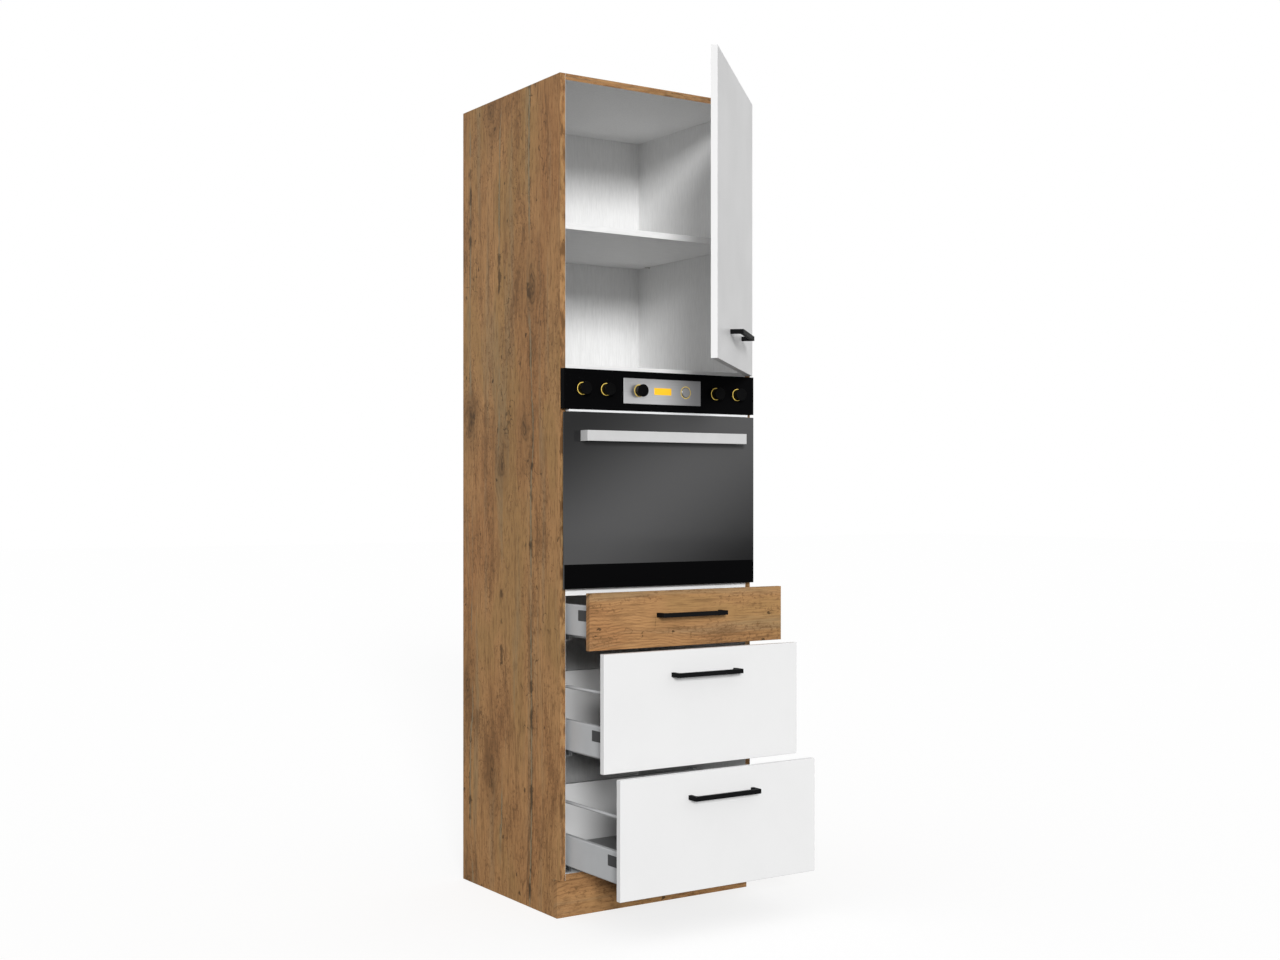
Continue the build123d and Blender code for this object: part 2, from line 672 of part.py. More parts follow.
with BuildPart() as oven_front_frame:
    with BuildSketch(facing(FRAME_REAR)):
        with Locations((0, (FRAME_LOW + FRAME_HIGH) / 2)):
            Rectangle(2 * (INNER_X - FRAME_PLAY), FRAME_HIGH - FRAME_LOW)
        with Locations((0, CAVITY_MIDDLE)):
            RectangleRounded(CAVITY_WIDTH, CAVITY_HEIGHT, CAVITY_ROUND, mode=Mode.SUBTRACT)
    extrude(amount=FRAME_SHEET)
save(oven_front_frame, "oven_front_frame")

CASING_REAR = FRAME_REAR + CASING_DEPTH
CASING_MIDDLE = OVEN_FLOOR + CASING_HEIGHT / 2
with BuildPart() as oven_casing:
    with BuildSketch(facing(CASING_REAR)):
        with Locations((0, CASING_MIDDLE)):
            Rectangle(CASING_WIDTH, CASING_HEIGHT)
    extrude(amount=CASING_DEPTH)
    with BuildSketch(facing(CASING_REAR - CASING_SHEET)):
        with Locations((0, CASING_MIDDLE)):
            Rectangle(CASING_WIDTH - 2 * CASING_SHEET, CASING_HEIGHT - 2 * CASING_SHEET)
    extrude(amount=CASING_DEPTH - CASING_SHEET, mode=Mode.SUBTRACT)
    with BuildSketch(facing(CASING_REAR)):
        with Locations((0, OVEN_FLOOR + CASING_HEIGHT - VENT_LENGTH)):
            with GridLocations(VENT_PITCH, 1, VENT_COUNT, 1):
                SlotOverall(VENT_LENGTH, VENT_WIDTH, rotation=90)
    extrude(amount=CASING_SHEET, mode=Mode.SUBTRACT)
save(oven_casing, "oven_casing")

CAVITY_REAR = FRAME_REAR + CAVITY_DEPTH
with BuildPart() as oven_cavity:
    with BuildSketch(facing(CAVITY_REAR)):
        with Locations((0, CAVITY_MIDDLE)):
            RectangleRounded(CAVITY_WIDTH + 2 * CAVITY_SHEET, CAVITY_HEIGHT + 2 * CAVITY_SHEET,
                             CAVITY_ROUND + CAVITY_SHEET)
    extrude(amount=CAVITY_DEPTH)
    with BuildSketch(facing(CAVITY_REAR - CAVITY_SHEET)):
        with Locations((0, CAVITY_MIDDLE)):
            RectangleRounded(CAVITY_WIDTH, CAVITY_HEIGHT, CAVITY_ROUND)
    extrude(amount=CAVITY_DEPTH - CAVITY_SHEET, mode=Mode.SUBTRACT)
    for sign in (-1, 1):
        wall = sign * (CAVITY_WIDTH / 2 - RACK_RIB / 2)
        with BuildSketch(facing(CAVITY_REAR - CAVITY_SHEET)):
            for level in range(RACK_LEVELS):
                with Locations((wall, CAVITY_LOW + RACK_FIRST + level * RACK_PITCH)):
                    Rectangle(RACK_RIB, RACK_RIB_TALL)
        extrude(amount=CAVITY_DEPTH - 2 * ELEMENT_INSET)
save(oven_cavity, "oven_cavity")

with BuildPart() as oven_gasket:
    with BuildSketch(facing(FRAME_FRONT)):
        with Locations((0, CAVITY_MIDDLE)):
            RectangleRounded(CAVITY_WIDTH + 2 * GASKET_WIDTH, CAVITY_HEIGHT + 2 * GASKET_WIDTH,
                             CAVITY_ROUND + GASKET_WIDTH)
            RectangleRounded(CAVITY_WIDTH, CAVITY_HEIGHT, CAVITY_ROUND, mode=Mode.SUBTRACT)
    extrude(amount=GASKET_THICK)
save(oven_gasket, "oven_gasket")

with BuildPart() as oven_fan_cover:
    with BuildSketch(facing(CAVITY_REAR - CAVITY_SHEET)):
        with Locations((0, CAVITY_MIDDLE)):
            Circle(FAN_RADIUS)
    extrude(amount=FAN_COVER)
    fillet(oven_fan_cover.edges().sort_by(Axis.Y)[0], FAN_COVER / 2)
    with BuildSketch(facing(CAVITY_REAR - CAVITY_SHEET)):
        with Locations((0, CAVITY_MIDDLE)):
            with PolarLocations(FAN_RADIUS / 2, FAN_VENTS):
                SlotOverall(FAN_RADIUS / 2, VENT_WIDTH)
    extrude(amount=FAN_COVER, mode=Mode.SUBTRACT)
save(oven_fan_cover, "oven_fan_cover")

ELEMENT_HEIGHT = CAVITY_LOW + CAVITY_HEIGHT - ELEMENT_DROP
ELEMENT_REAR = CAVITY_REAR - CAVITY_SHEET
with BuildPart() as oven_heating_element:
    with BuildLine() as element_path:
        FilletPolyline(
            (-CAVITY_WIDTH / 2 + ELEMENT_INSET, ELEMENT_REAR, ELEMENT_HEIGHT),
            (-CAVITY_WIDTH / 2 + ELEMENT_INSET, FRAME_REAR + 2 * ELEMENT_INSET, ELEMENT_HEIGHT),
            (CAVITY_WIDTH / 2 - ELEMENT_INSET, FRAME_REAR + 2 * ELEMENT_INSET, ELEMENT_HEIGHT),
            (CAVITY_WIDTH / 2 - ELEMENT_INSET, ELEMENT_REAR, ELEMENT_HEIGHT),
            radius=ELEMENT_BEND,
        )
    with BuildSketch(facing(ELEMENT_REAR)):
        with Locations((-CAVITY_WIDTH / 2 + ELEMENT_INSET, ELEMENT_HEIGHT)):
            Circle(ELEMENT_RADIUS)
    sweep(path=element_path.wires()[0])
save(oven_heating_element, "oven_heating_element")

# Oven controls: panel, steel plate, display, turning knobs and a push button
CONTROL_HEIGHT = PANEL_BOTTOM + CONTROL_RISE
PLATE_FACE = OVEN_FACE - PLATE_PROUD
OUTER_KNOB = OVEN_WIDTH / 2 - KNOB_FROM_END
INNER_KNOB = OUTER_KNOB - KNOB_PITCH
KNOB_PLACES = (-OUTER_KNOB, -INNER_KNOB, -PLATE_CONTROL, INNER_KNOB, OUTER_KNOB)
PLATE_KNOBS = (-PLATE_CONTROL,)
BUTTON_PLACE = PLATE_CONTROL
with BuildPart() as oven_control_panel:
    with BuildSketch(facing(FRAME_FRONT)):
        with Locations((0, PANEL_BOTTOM + PANEL_HEIGHT / 2)):
            Rectangle(OVEN_WIDTH, PANEL_HEIGHT)
    extrude(amount=FRAME_FRONT - OVEN_FACE)
    fillet(oven_control_panel.faces().sort_by(Axis.Y)[0].edges(), FRONT_ROUND)
    with BuildSketch(facing(OVEN_FACE)):
        with Locations(*[(x, CONTROL_HEIGHT) for x in KNOB_PLACES]):
            Circle(SHAFT_RADIUS + SHAFT_FIT)
    extrude(amount=-SHAFT_LENGTH, mode=Mode.SUBTRACT)
    with BuildSketch(facing(OVEN_FACE)):
        with Locations((BUTTON_PLACE, CONTROL_HEIGHT)):
            Circle(BUTTON_RADIUS + BUTTON_FIT)
    extrude(amount=-(BUTTON_DEPTH + BUTTON_TRAVEL), mode=Mode.SUBTRACT)
save(oven_control_panel, "oven_control_panel")

with BuildPart() as oven_control_plate:
    with BuildSketch(facing(OVEN_FACE)):
        with Locations((0, CONTROL_HEIGHT - (CONTROL_RISE - PANEL_HEIGHT / 2))):
            RectangleRounded(PLATE_WIDTH, PLATE_HEIGHT, PLATE_CORNER)
        with Locations((0, CONTROL_HEIGHT)):
            Rectangle(DISPLAY_WIDTH, DISPLAY_HEIGHT, mode=Mode.SUBTRACT)
        with Locations(*[(x, CONTROL_HEIGHT) for x in PLATE_KNOBS]):
            Circle(SHAFT_RADIUS + SHAFT_FIT, mode=Mode.SUBTRACT)
        with Locations((BUTTON_PLACE, CONTROL_HEIGHT)):
            Circle(BUTTON_RADIUS + BUTTON_FIT, mode=Mode.SUBTRACT)
    extrude(amount=PLATE_PROUD)
    chamfer(oven_control_plate.faces().sort_by(Axis.Y)[0].outer_wire().edges(), PLATE_BEVEL)
save(oven_control_plate, "oven_control_plate")

oven_display = make_block(
    (-DISPLAY_WIDTH / 2, DISPLAY_WIDTH / 2),
    (PLATE_FACE, OVEN_FACE),
    (CONTROL_HEIGHT - DISPLAY_HEIGHT / 2, CONTROL_HEIGHT + DISPLAY_HEIGHT / 2),
)
save(oven_display, "oven_display")

for number, place in enumerate(KNOB_PLACES, start=1):
    seat = PLATE_FACE if place in PLATE_KNOBS else OVEN_FACE
    with BuildPart() as knob:
        with BuildSketch(facing(seat - KNOB_LIFT)):
            with Locations((place, CONTROL_HEIGHT)):
                Circle(KNOB_RADIUS - KNOB_FLARE)
        extrude(amount=KNOB_LENGTH, taper=-degrees(atan2(KNOB_FLARE, KNOB_LENGTH)))
        fillet(knob.edges().sort_by(Axis.Y)[0], KNOB_ROUND)
        with BuildSketch(facing(OVEN_FACE + SHAFT_LENGTH - KNOB_LIFT)):
            with Locations((place, CONTROL_HEIGHT)):
                Circle(SHAFT_RADIUS)
        extrude(amount=OVEN_FACE + SHAFT_LENGTH - seat)
    save(knob, f"oven_knob_{number}")

with BuildPart() as oven_button:
    with BuildSketch(facing(OVEN_FACE + BUTTON_DEPTH)):
        with Locations((BUTTON_PLACE, CONTROL_HEIGHT)):
            Circle(BUTTON_RADIUS)
    extrude(amount=BUTTON_DEPTH + PLATE_PROUD + BUTTON_PROUD)
    fillet(oven_button.edges().sort_by(Axis.Y)[0], KNOB_ROUND)
save(oven_button, "oven_button")

# Oven door: outer glass, steel frame, inner glass, handle and bottom hinges
GLASS_BACK = OVEN_FACE + GLASS_THICK
DOOR_FRAME_BACK = FRAME_FRONT - GASKET_THICK
DOOR_FRAME_BOTTOM = OVEN_BOTTOM + DOOR_FRAME_LOW
DOOR_FRAME_MIDDLE = (DOOR_FRAME_BOTTOM + OVEN_DOOR_TOP - DOOR_FRAME_LOW) / 2
DOOR_FRAME_HEIGHT = OVEN_DOOR_TOP - DOOR_FRAME_LOW - DOOR_FRAME_BOTTOM
DOOR_FRAME_WIDTH = OVEN_WIDTH - 2 * DOOR_FRAME_INSET
WINDOW_WIDTH = DOOR_FRAME_WIDTH - 2 * DOOR_FRAME_BAR
WINDOW_HEIGHT = DOOR_FRAME_HEIGHT - 2 * DOOR_FRAME_BAR
OVEN_AXIS = (OVEN_FACE + OVEN_AXIS_IN, OVEN_BOTTOM + OVEN_AXIS_RISE)
OVEN_HINGE_FROM_MIDDLE = DOOR_FRAME_WIDTH / 2 - OVEN_HINGE_INSET
HINGE_SPOTS = [sign * OVEN_HINGE_FROM_MIDDLE for sign in (-1, 1)]

with BuildPart() as oven_door_glass:
    with BuildSketch(facing(GLASS_BACK)):
        with Locations((0, (OVEN_BOTTOM + OVEN_DOOR_TOP) / 2)):
            Rectangle(OVEN_WIDTH, OVEN_DOOR_TOP - OVEN_BOTTOM)
    extrude(amount=GLASS_THICK)
    fillet(oven_door_glass.faces().sort_by(Axis.Y)[0].edges(), FRONT_ROUND)
save(oven_door_glass, "oven_door_glass")

with BuildPart() as oven_door_frame:
    with BuildSketch(facing(DOOR_FRAME_BACK)):
        with Locations((0, DOOR_FRAME_MIDDLE)):
            Rectangle(DOOR_FRAME_WIDTH, DOOR_FRAME_HEIGHT)
            Rectangle(WINDOW_WIDTH, WINDOW_HEIGHT, mode=Mode.SUBTRACT)
    extrude(amount=DOOR_FRAME_BACK - GLASS_BACK)
    with BuildSketch(facing(DOOR_FRAME_BACK)):
        with Locations((0, DOOR_FRAME_MIDDLE)):
            Rectangle(WINDOW_WIDTH + 2 * INNER_GLASS_LAP, WINDOW_HEIGHT + 2 * INNER_GLASS_LAP)
    extrude(amount=INNER_GLASS_THICK, mode=Mode.SUBTRACT)
    for spot in HINGE_SPOTS:
        with BuildSketch(Plane.YZ.offset(spot - OVEN_LUG / 2 - OVEN_LUG_PLAY)):
            with Locations(OVEN_AXIS):
                Rectangle(4 * OVEN_LUG_RADIUS + 2 * OVEN_AXIS_RISE, 2 * (OVEN_LUG_RADIUS + OVEN_AXIS_RISE))
        extrude(amount=OVEN_LUG + 2 * OVEN_LUG_PLAY, mode=Mode.SUBTRACT)
        with BuildSketch(Plane.YZ.offset(spot - OVEN_LUG)):
            with Locations(OVEN_AXIS):
                Circle(OVEN_PIN)
        extrude(amount=2 * OVEN_LUG)
save(oven_door_frame, "oven_door_frame")

with BuildPart() as oven_door_hinges:
    for spot in HINGE_SPOTS:
        with BuildSketch(Plane.YZ.offset(spot - OVEN_LUG / 2)):
            with Locations(OVEN_AXIS):
                Circle(OVEN_LUG_RADIUS)
            with Locations(((OVEN_AXIS[0] + FRAME_FRONT) / 2, OVEN_AXIS[1])):
                Rectangle(FRAME_FRONT - OVEN_AXIS[0], 2 * OVEN_LUG_RADIUS)
            with Locations(OVEN_AXIS):
                Circle(OVEN_PIN + HINGE_RUN_FIT, mode=Mode.SUBTRACT)
        extrude(amount=OVEN_LUG)
save(oven_door_hinges, "oven_door_hinges")

with BuildPart() as oven_door_inner_glass:
    with BuildSketch(facing(DOOR_FRAME_BACK)):
        with Locations((0, DOOR_FRAME_MIDDLE)):
            Rectangle(WINDOW_WIDTH + 2 * INNER_GLASS_LAP, WINDOW_HEIGHT + 2 * INNER_GLASS_LAP)
    extrude(amount=INNER_GLASS_THICK)
save(oven_door_inner_glass, "oven_door_inner_glass")

HANDLE_MIDDLE = OVEN_DOOR_TOP - OVEN_HANDLE_BELOW_TOP
OVEN_HANDLE_LENGTH = OVEN_WIDTH - 2 * OVEN_HANDLE_INSET
with BuildPart() as oven_door_handle:
    with BuildSketch(Plane.XY.offset(HANDLE_MIDDLE - OVEN_HANDLE_TALL / 2)) as outline:
        with Locations((0, OVEN_FACE - OVEN_HANDLE_REACH / 2)):
            Rectangle(OVEN_HANDLE_LENGTH, OVEN_HANDLE_REACH)
        with Locations((0, OVEN_FACE - (OVEN_HANDLE_REACH - OVEN_HANDLE_BAR) / 2)):
            Rectangle(OVEN_HANDLE_LENGTH - 2 * OVEN_HANDLE_BAR, OVEN_HANDLE_REACH - OVEN_HANDLE_BAR,
                      mode=Mode.SUBTRACT)
    extrude(amount=OVEN_HANDLE_TALL)
    fillet(oven_door_handle.faces().sort_by(Axis.Y)[0].edges(), FRONT_ROUND)
save(oven_door_handle, "oven_door_handle")
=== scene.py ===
# %% [markdown]
# # A tall oven housing cabinet, dressed for a catalogue picture
#
# The cabinet comes in as a set of rigid pieces: boards, drawers, hinges and an oven, all in metres. This
# notebook gives every piece its finish, adds the thin trim that is printed or clipped on, and sets up the
# studio and the camera. The first step loads the pieces and defines a helper that measures the box round
# any one of them.

import json
from math import cos, pi, radians, sin

import bpy
import numpy as np
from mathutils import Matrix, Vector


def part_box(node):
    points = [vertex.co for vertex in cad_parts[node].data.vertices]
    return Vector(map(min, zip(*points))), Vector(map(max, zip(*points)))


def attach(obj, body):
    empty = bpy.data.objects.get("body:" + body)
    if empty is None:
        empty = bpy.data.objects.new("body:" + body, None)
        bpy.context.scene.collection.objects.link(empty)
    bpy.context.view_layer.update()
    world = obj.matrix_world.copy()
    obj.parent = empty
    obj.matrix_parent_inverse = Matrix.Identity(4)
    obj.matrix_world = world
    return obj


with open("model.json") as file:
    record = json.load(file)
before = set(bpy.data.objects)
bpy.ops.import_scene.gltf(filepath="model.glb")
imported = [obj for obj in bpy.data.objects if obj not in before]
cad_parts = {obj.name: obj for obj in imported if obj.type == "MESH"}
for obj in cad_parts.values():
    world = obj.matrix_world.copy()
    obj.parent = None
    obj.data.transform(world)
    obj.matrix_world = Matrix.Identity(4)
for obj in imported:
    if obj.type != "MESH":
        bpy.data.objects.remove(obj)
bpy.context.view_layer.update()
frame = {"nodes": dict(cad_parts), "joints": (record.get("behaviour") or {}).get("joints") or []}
nodes = frame["nodes"]

# %% [markdown]
# Every finish below is a tree of shader nodes. It could be drawn by hand in the shader editor; as code it
# reads from top to bottom. The trees all need the same three steps: add a node, set or link its inputs,
# and read its output. A few helpers do that, so a recipe reads as a list of its layers.

# %% Node helpers


def add(tree, kind, inputs=None, **settings):
    """Add a shader node, set its settings, then set or link each input by name or number."""
    made = tree.nodes.new("ShaderNode" + kind)
    for key, value in settings.items():
        setattr(made, key, value)
    for key, value in (inputs or {}).items():
        if isinstance(value, bpy.types.NodeSocket):
            tree.links.new(value, made.inputs[key])
        else:
            made.inputs[key].default_value = value
    return made


def maths(operation, first, second=0.0):
    """One arithmetic step on a socket and another one or a number, in the first one's tree."""
    return add(first.id_data, "Math", {0: first, 1: second}, operation=operation).outputs[0]


def times(first, second):
    """The product of a socket and another one or a number."""
    return maths("MULTIPLY", first, second)


def plus(first, second, share):
    """The first socket plus a share of the second."""
    return maths("ADD", first, times(second, share))


def tinted(factor, first, second):
    """Two colours mixed by a factor; each is a socket or an RGBA tuple."""
    return add(factor.id_data, "Mix", {0: factor, 6: first, 7: second}, data_type="RGBA").outputs[2]


def band(value, low, high, top=1.0):
    """0 at low, top at high and a smooth step between them; low above high turns it round."""
    limits = {0: value, 1: low, 2: high, 3: 0.0, 4: top}
    return add(value.id_data, "MapRange", limits, interpolation_type="SMOOTHSTEP").outputs[0]


print("node helpers ready")

# %% [markdown]
# Every piece sits at the origin with its place in its mesh, so its Object coordinates are metres in the
# cabinet's own frame. A pattern on them keeps its true scale, runs on round a corner and travels with a
# drawer; UV maps would have to be unrolled board by board. A finish is one Principled shader: what is the
# same all over goes straight on its sockets, and only what varies is linked.

# %% Patterns and finishes
NOISE_LOW = 0.3
NOISE_HIGH = 0.7


def object_axes(tree):
    """The three object coordinates as sockets, in metres."""
    return add(tree, "SeparateXYZ", {0: add(tree, "TexCoord").outputs["Object"]}).outputs


def cloud(tree, cycles, detail=3.0, roughness=0.55):
    """Soft noise from 0 to 1, with one number of cycles per metre or one for each axis."""
    scale = cycles if isinstance(cycles, tuple) else (cycles, cycles, cycles)
    place = add(tree, "TexCoord").outputs["Object"]
    place = add(tree, "Mapping", {"Vector": place, "Scale": scale}).outputs[0]
    spots = {"Vector": place, "Scale": 1.0, "Detail": detail, "Roughness": roughness}
    return add(tree, "TexNoise", spots).outputs[0]


def along_grain(grain, across, along):
    """Cycles per axis for a pattern that is fine across the grain and long along it."""
    return tuple(along if axis == grain else across for axis in "XYZ")


def start_finish(name, colour, roughness, metallic=0.0, specular=0.5, **others):
    """A material with a Principled shader whose constants are set on its own sockets."""
    material = bpy.data.materials.new(name)
    material.use_nodes = True
    shader = material.node_tree.nodes["Principled BSDF"]
    shader.inputs["Base Color"].default_value = (*colour[:3], 1)
    shader.inputs["Roughness"].default_value = roughness
    shader.inputs["Metallic"].default_value = metallic
    shader.inputs["Specular IOR Level"].default_value = specular
    for key, value in others.items():
        shader.inputs[key.replace("_", " ")].default_value = value
    return material, material.node_tree, shader


def feed(shader, socket, pattern):
    """Link a pattern to one of the shader's sockets."""
    shader.id_data.links.new(pattern, shader.inputs[socket])


def vary_gloss(shader, pattern, roughness, less, more):
    """Let the roughness follow the middle part of a noise, from a little less to a little more."""
    limits = {0: pattern, 1: NOISE_LOW, 2: NOISE_HIGH, 3: roughness - less, 4: roughness + more}
    feed(shader, "Roughness", add(shader.id_data, "MapRange", limits).outputs[0])


def emboss(shader, height, strength, distance):
    """Feed a height pattern to the shader as bump; distance is the relief in metres."""
    relief = {"Height": height, "Strength": strength, "Distance": distance}
    feed(shader, "Normal", add(shader.id_data, "Bump", relief).outputs[0])


def dress(material, *names):
    """Give the named pieces of the cabinet a finish."""
    for name in names:
        nodes[name].data.materials.clear()
        nodes[name].data.materials.append(material)


print("finish helpers ready")

# %% [markdown]
# ## Oak decor
#
# The sides, the plinth, the top drawer front and the front edges show a rustic oak: brown boards with long
# fibres, growth lines that swing round a few knots, grey cracks that run with the grain, and small dark
# pin holes. A printed picture would be one way to get it. Here the wood is a formula instead, with one
# coordinate across the grain and one along it, so it runs on round the edges of a board and holds up close
# to. The thickness is folded into the coordinate across, and on the glued front edge the print is smaller
# both ways. Most layers are noise, drawn out along the grain, and a table holds their measures.

# %% Board coordinates
FOLD = 0.61
TAPE_FINER = 5.0
TAPE_SHORTER = 2.4
ALONG_ACROSS_THICK = {"Z": (2, 1, 0), "X": (0, 2, 1)}

# Cycles per metre across and along the grain, detail and roughness of each layer
OAK_NOISE = {
    "rough": (75.0, 50.0, 4.0, 0.60),
    "shake": (26.0, 12.0, 3.0, 0.55),
    "sway": (3.0, 0.9, 2.0, 0.55),
    "tone": (9.0, 1.1, 2.0, 0.55),
    "warm": (6.0, 1.8, 3.0, 0.55),
    "fleck": (125.0, 27.0, 5.0, 0.68),
    "fibre": (360.0, 12.0, 3.0, 0.60),
    "streak": (44.0, 3.6, 4.0, 0.62),
    "smudge": (12.0, 3.6, 5.0, 0.66),
    "veil": (19.0, 1.1, 3.0, 0.60),
    "pit": (120.0, 85.0, 3.0, 0.65),
    "swell": (2.6, 1.3, 2.0, 0.55),
    "crack": (3.4, 2.2, 4.0, 0.60),
    "blot": (5.0, 9.0, 2.0, 0.55),
    "curl": (8.0, 7.0, 3.0, 0.55),
    "sparse": (6.5, 4.5, 2.0, 0.55),
    "bar": (22.0, 9.0, 2.0, 0.55),
}


def board_axes(tree, grain, tape):
    """Coordinates across and along the grain, and a mask of the edge glued on in front."""
    axes = object_axes(tree)
    along, across, thickness = (axes[number] for number in ALONG_ACROSS_THICK[grain])
    folded = plus(across, thickness, FOLD)
    if tape is None:
        return folded, along, 0.0
    glued = maths("LESS_THAN", axes[1], tape)
    finer = add(tree, "MapRange", {0: glued, 3: 1.0, 4: TAPE_FINER}).outputs[0]
    shorter = add(tree, "MapRange", {0: glued, 3: 1.0, 4: TAPE_SHORTER}).outputs[0]
    return times(folded, finer), times(along, shorter), glued


def flat_place(across, along, fine, long):
    """The two board coordinates as a vector, in cycles per metre."""
    pair = {0: times(across, fine), 1: times(along, long)}
    return add(across.id_data, "CombineXYZ", pair).outputs[0]


def grain_noise(across, along, layer, finer=1.0, longer=1.0):
    """A layer of the table in board coordinates, its marks made narrower or longer where wanted."""
    fine, long, detail, roughness = OAK_NOISE[layer]
    place = flat_place(across, along, fine * finer, long / longer)
    spots = {"Vector": place, "Scale": 1.0, "Detail": detail, "Roughness": roughness}
    return add(across.id_data, "TexNoise", spots, noise_dimensions="2D").outputs[0]


def centred(noise):
    """A noise moved down by a half, so that it swings about zero."""
    return maths("SUBTRACT", noise, 0.5)


print(len(OAK_NOISE), "noise layers in board coordinates")

# %% [markdown]
# A knot is where a branch left the trunk: a dark eye with rings, in a shaded patch. Knots could be set one
# by one from a list. A Voronoi pattern is shorter: it scatters one spot in each cell, and the cell's own
# random number decides whether that spot becomes a knot. The distance to it, shaken a little, gives the
# eye, its rings and the patch. Inside the patch the coordinate across the grain is held back, so every
# line drawn later swings round the knot.

# %% Knots and bent grain
KNOT_CYCLES = (5.4, 2.0)
KNOT_KEPT = (0.50, 0.54)
KNOT_SHAKE = 0.24
KNOT_EDGE = 0.115
PATCH_EDGE = 0.40
KNOT_CORE = 0.03
KNOT_RING = 0.024
KNOT_RING_BAND = (0.008, 0.020)
KNOT_HOLD = 0.62
GRAIN_SWAY = 0.05


def scattered(across, along, cycles, kept):
    """Spots strewn over a board: distance to the nearest, its place, and whether it is kept."""
    tree = across.id_data
    place = flat_place(across, along, *cycles)
    cells = add(tree, "TexVoronoi", {"Vector": place, "Scale": 1.0}, voronoi_dimensions="2D")
    chance = add(tree, "SeparateColor", {0: cells.outputs["Color"]}).outputs[0]
    return cells.outputs["Distance"], cells.outputs["Position"], band(chance, *kept)


def knotted_grain(across, along):
    """The coordinate across the grain, bent round the knots, and masks of knots, patches and rings."""
    distance, place, chosen = scattered(across, along, KNOT_CYCLES, KNOT_KEPT)
    shake = centred(grain_noise(across, along, "shake"))
    reach = plus(distance, shake, KNOT_SHAKE)
    knot = times(band(reach, KNOT_EDGE, KNOT_CORE), chosen)
    patch = times(band(reach, PATCH_EDGE, KNOT_CORE), chosen)
    rings = band(maths("PINGPONG", reach, KNOT_RING), *KNOT_RING_BAND)

    middle = add(across.id_data, "SeparateXYZ", {0: place}).outputs[0]
    aside = maths("SUBTRACT", across, maths("DIVIDE", middle, KNOT_CYCLES[0]))
    bent = plus(across, times(aside, patch), -KNOT_HOLD)
    bent = plus(bent, grain_noise(bent, along, "sway"), GRAIN_SWAY)
    return bent, knot, patch, times(rings, knot)


print("places for a knot in a metre across and along the grain:", KNOT_CYCLES)

# %% [markdown]
# Old oak splits along the grain. A crack here is a grey line between two dark rims, which break off and
# start again, with a dark blot on it here and there. Drawn as curves, the cracks would need their own
# paths. A Voronoi pattern in one dimension gives them from the bent coordinate alone: lines at uneven
# distances that follow the grain from end to end, and a slow noise says where along the board they open.

# %% Cracks
CRACK_CYCLES = 6.6
CRACK_WAVER = 0.006
CRACK_GREY = (0.034, 0.014)
CRACK_OPEN = (0.40, 0.54)
RIM_AT = 0.030
RIM_BAND = (0.013, 0.003)
RIM_OPEN = (0.45, 0.58)
RIM_BREAKS = (0.38, 0.56)
BLOT_RAGGED = 0.16
BLOT_BAND = (0.075, 0.02)
BLOT_OPEN = (0.62, 0.68)


def cracks(across, bent, along, rough, fleck, cracked):
    """Masks of the grey cracks, their broken rims and the blots on them; cracked at 0 leaves none."""
    drift = times(plus(bent, rough, CRACK_WAVER), CRACK_CYCLES)
    lines = {"voronoi_dimensions": "1D", "feature": "DISTANCE_TO_EDGE"}
    split = add(bent.id_data, "TexVoronoi", {"W": drift, "Scale": 1.0}, **lines)
    gap = maths("ADD", split.outputs["Distance"], 1.0 - cracked)
    where = grain_noise(across, along, "crack")
    grey = times(band(gap, *CRACK_GREY), band(where, *CRACK_OPEN))

    off_rim = maths("ABSOLUTE", maths("SUBTRACT", gap, RIM_AT))
    broken = times(band(where, *RIM_OPEN), band(fleck, *RIM_BREAKS))
    rim = times(band(off_rim, *RIM_BAND), broken)

    ragged = plus(gap, rough, -BLOT_RAGGED)
    blot = band(grain_noise(across, along, "blot"), *BLOT_OPEN)
    return grey, rim, times(blot, band(ragged, *BLOT_BAND))


print("cracks about", round(1 / CRACK_CYCLES, 2), "m apart")

# %% [markdown]
# Three finer marks finish the drawing. Growth lines are a zigzag over the bent coordinate, whose spacing
# swells and closes up with a slow noise. Curled hair cracks come from a noise too: the thin line where it
# passes its middle value wanders like a hair. Pin holes are scattered spots again, of which only a few are
# kept. Modelled, they would take far too many faces; as formulas they cost none.

# %% Growth lines, hair cracks and pin holes
LINE_CYCLES = 74.0
LINE_SWELL = 15.0
LINE_ROUGH = 0.9
LINE_TOP = 0.5
LINE_BAND = (0.20, 0.48)
LINE_OPEN = (0.34, 0.60)
HAIR_BAND = (0.012, 0.003)
HAIR_OPEN = (0.56, 0.66)
HAIR_BREAKS = (0.35, 0.60)
HOLE_CYCLES = (58.0, 34.0)
HOLE_KEPT = (0.981, 0.985)
HOLE_RAGGED = 1.1
HOLE_BAND = (0.22, 0.08)


def growth_lines(bent, along, rough, warm, fine):
    """Dark lines along the grain, drawn only where the tone is warm."""
    swell = grain_noise(bent, along, "swell", longer=1 / fine)
    lines = plus(times(bent, LINE_CYCLES * fine), swell, LINE_SWELL)
    lines = maths("PINGPONG", plus(lines, rough, LINE_ROUGH), LINE_TOP)
    return times(band(lines, *LINE_BAND), band(warm, *LINE_OPEN))


def hair_cracks(across, along, fleck):
    """Thin curled lines in a few places, where a noise passes its middle value."""
    off_middle = maths("ABSOLUTE", centred(grain_noise(across, along, "curl")))
    sparse = band(grain_noise(across, along, "sparse"), *HAIR_OPEN)
    hairs = times(band(off_middle, *HAIR_BAND), sparse)
    return times(hairs, band(fleck, *HAIR_BREAKS))


def pin_holes(bent, along, rough):
    """Small ragged dots, at about one in sixty of the scattered spots."""
    distance, _, rare = scattered(bent, along, HOLE_CYCLES, HOLE_KEPT)
    ragged = plus(distance, rough, HOLE_RAGGED)
    return times(band(ragged, *HOLE_BAND), rare)


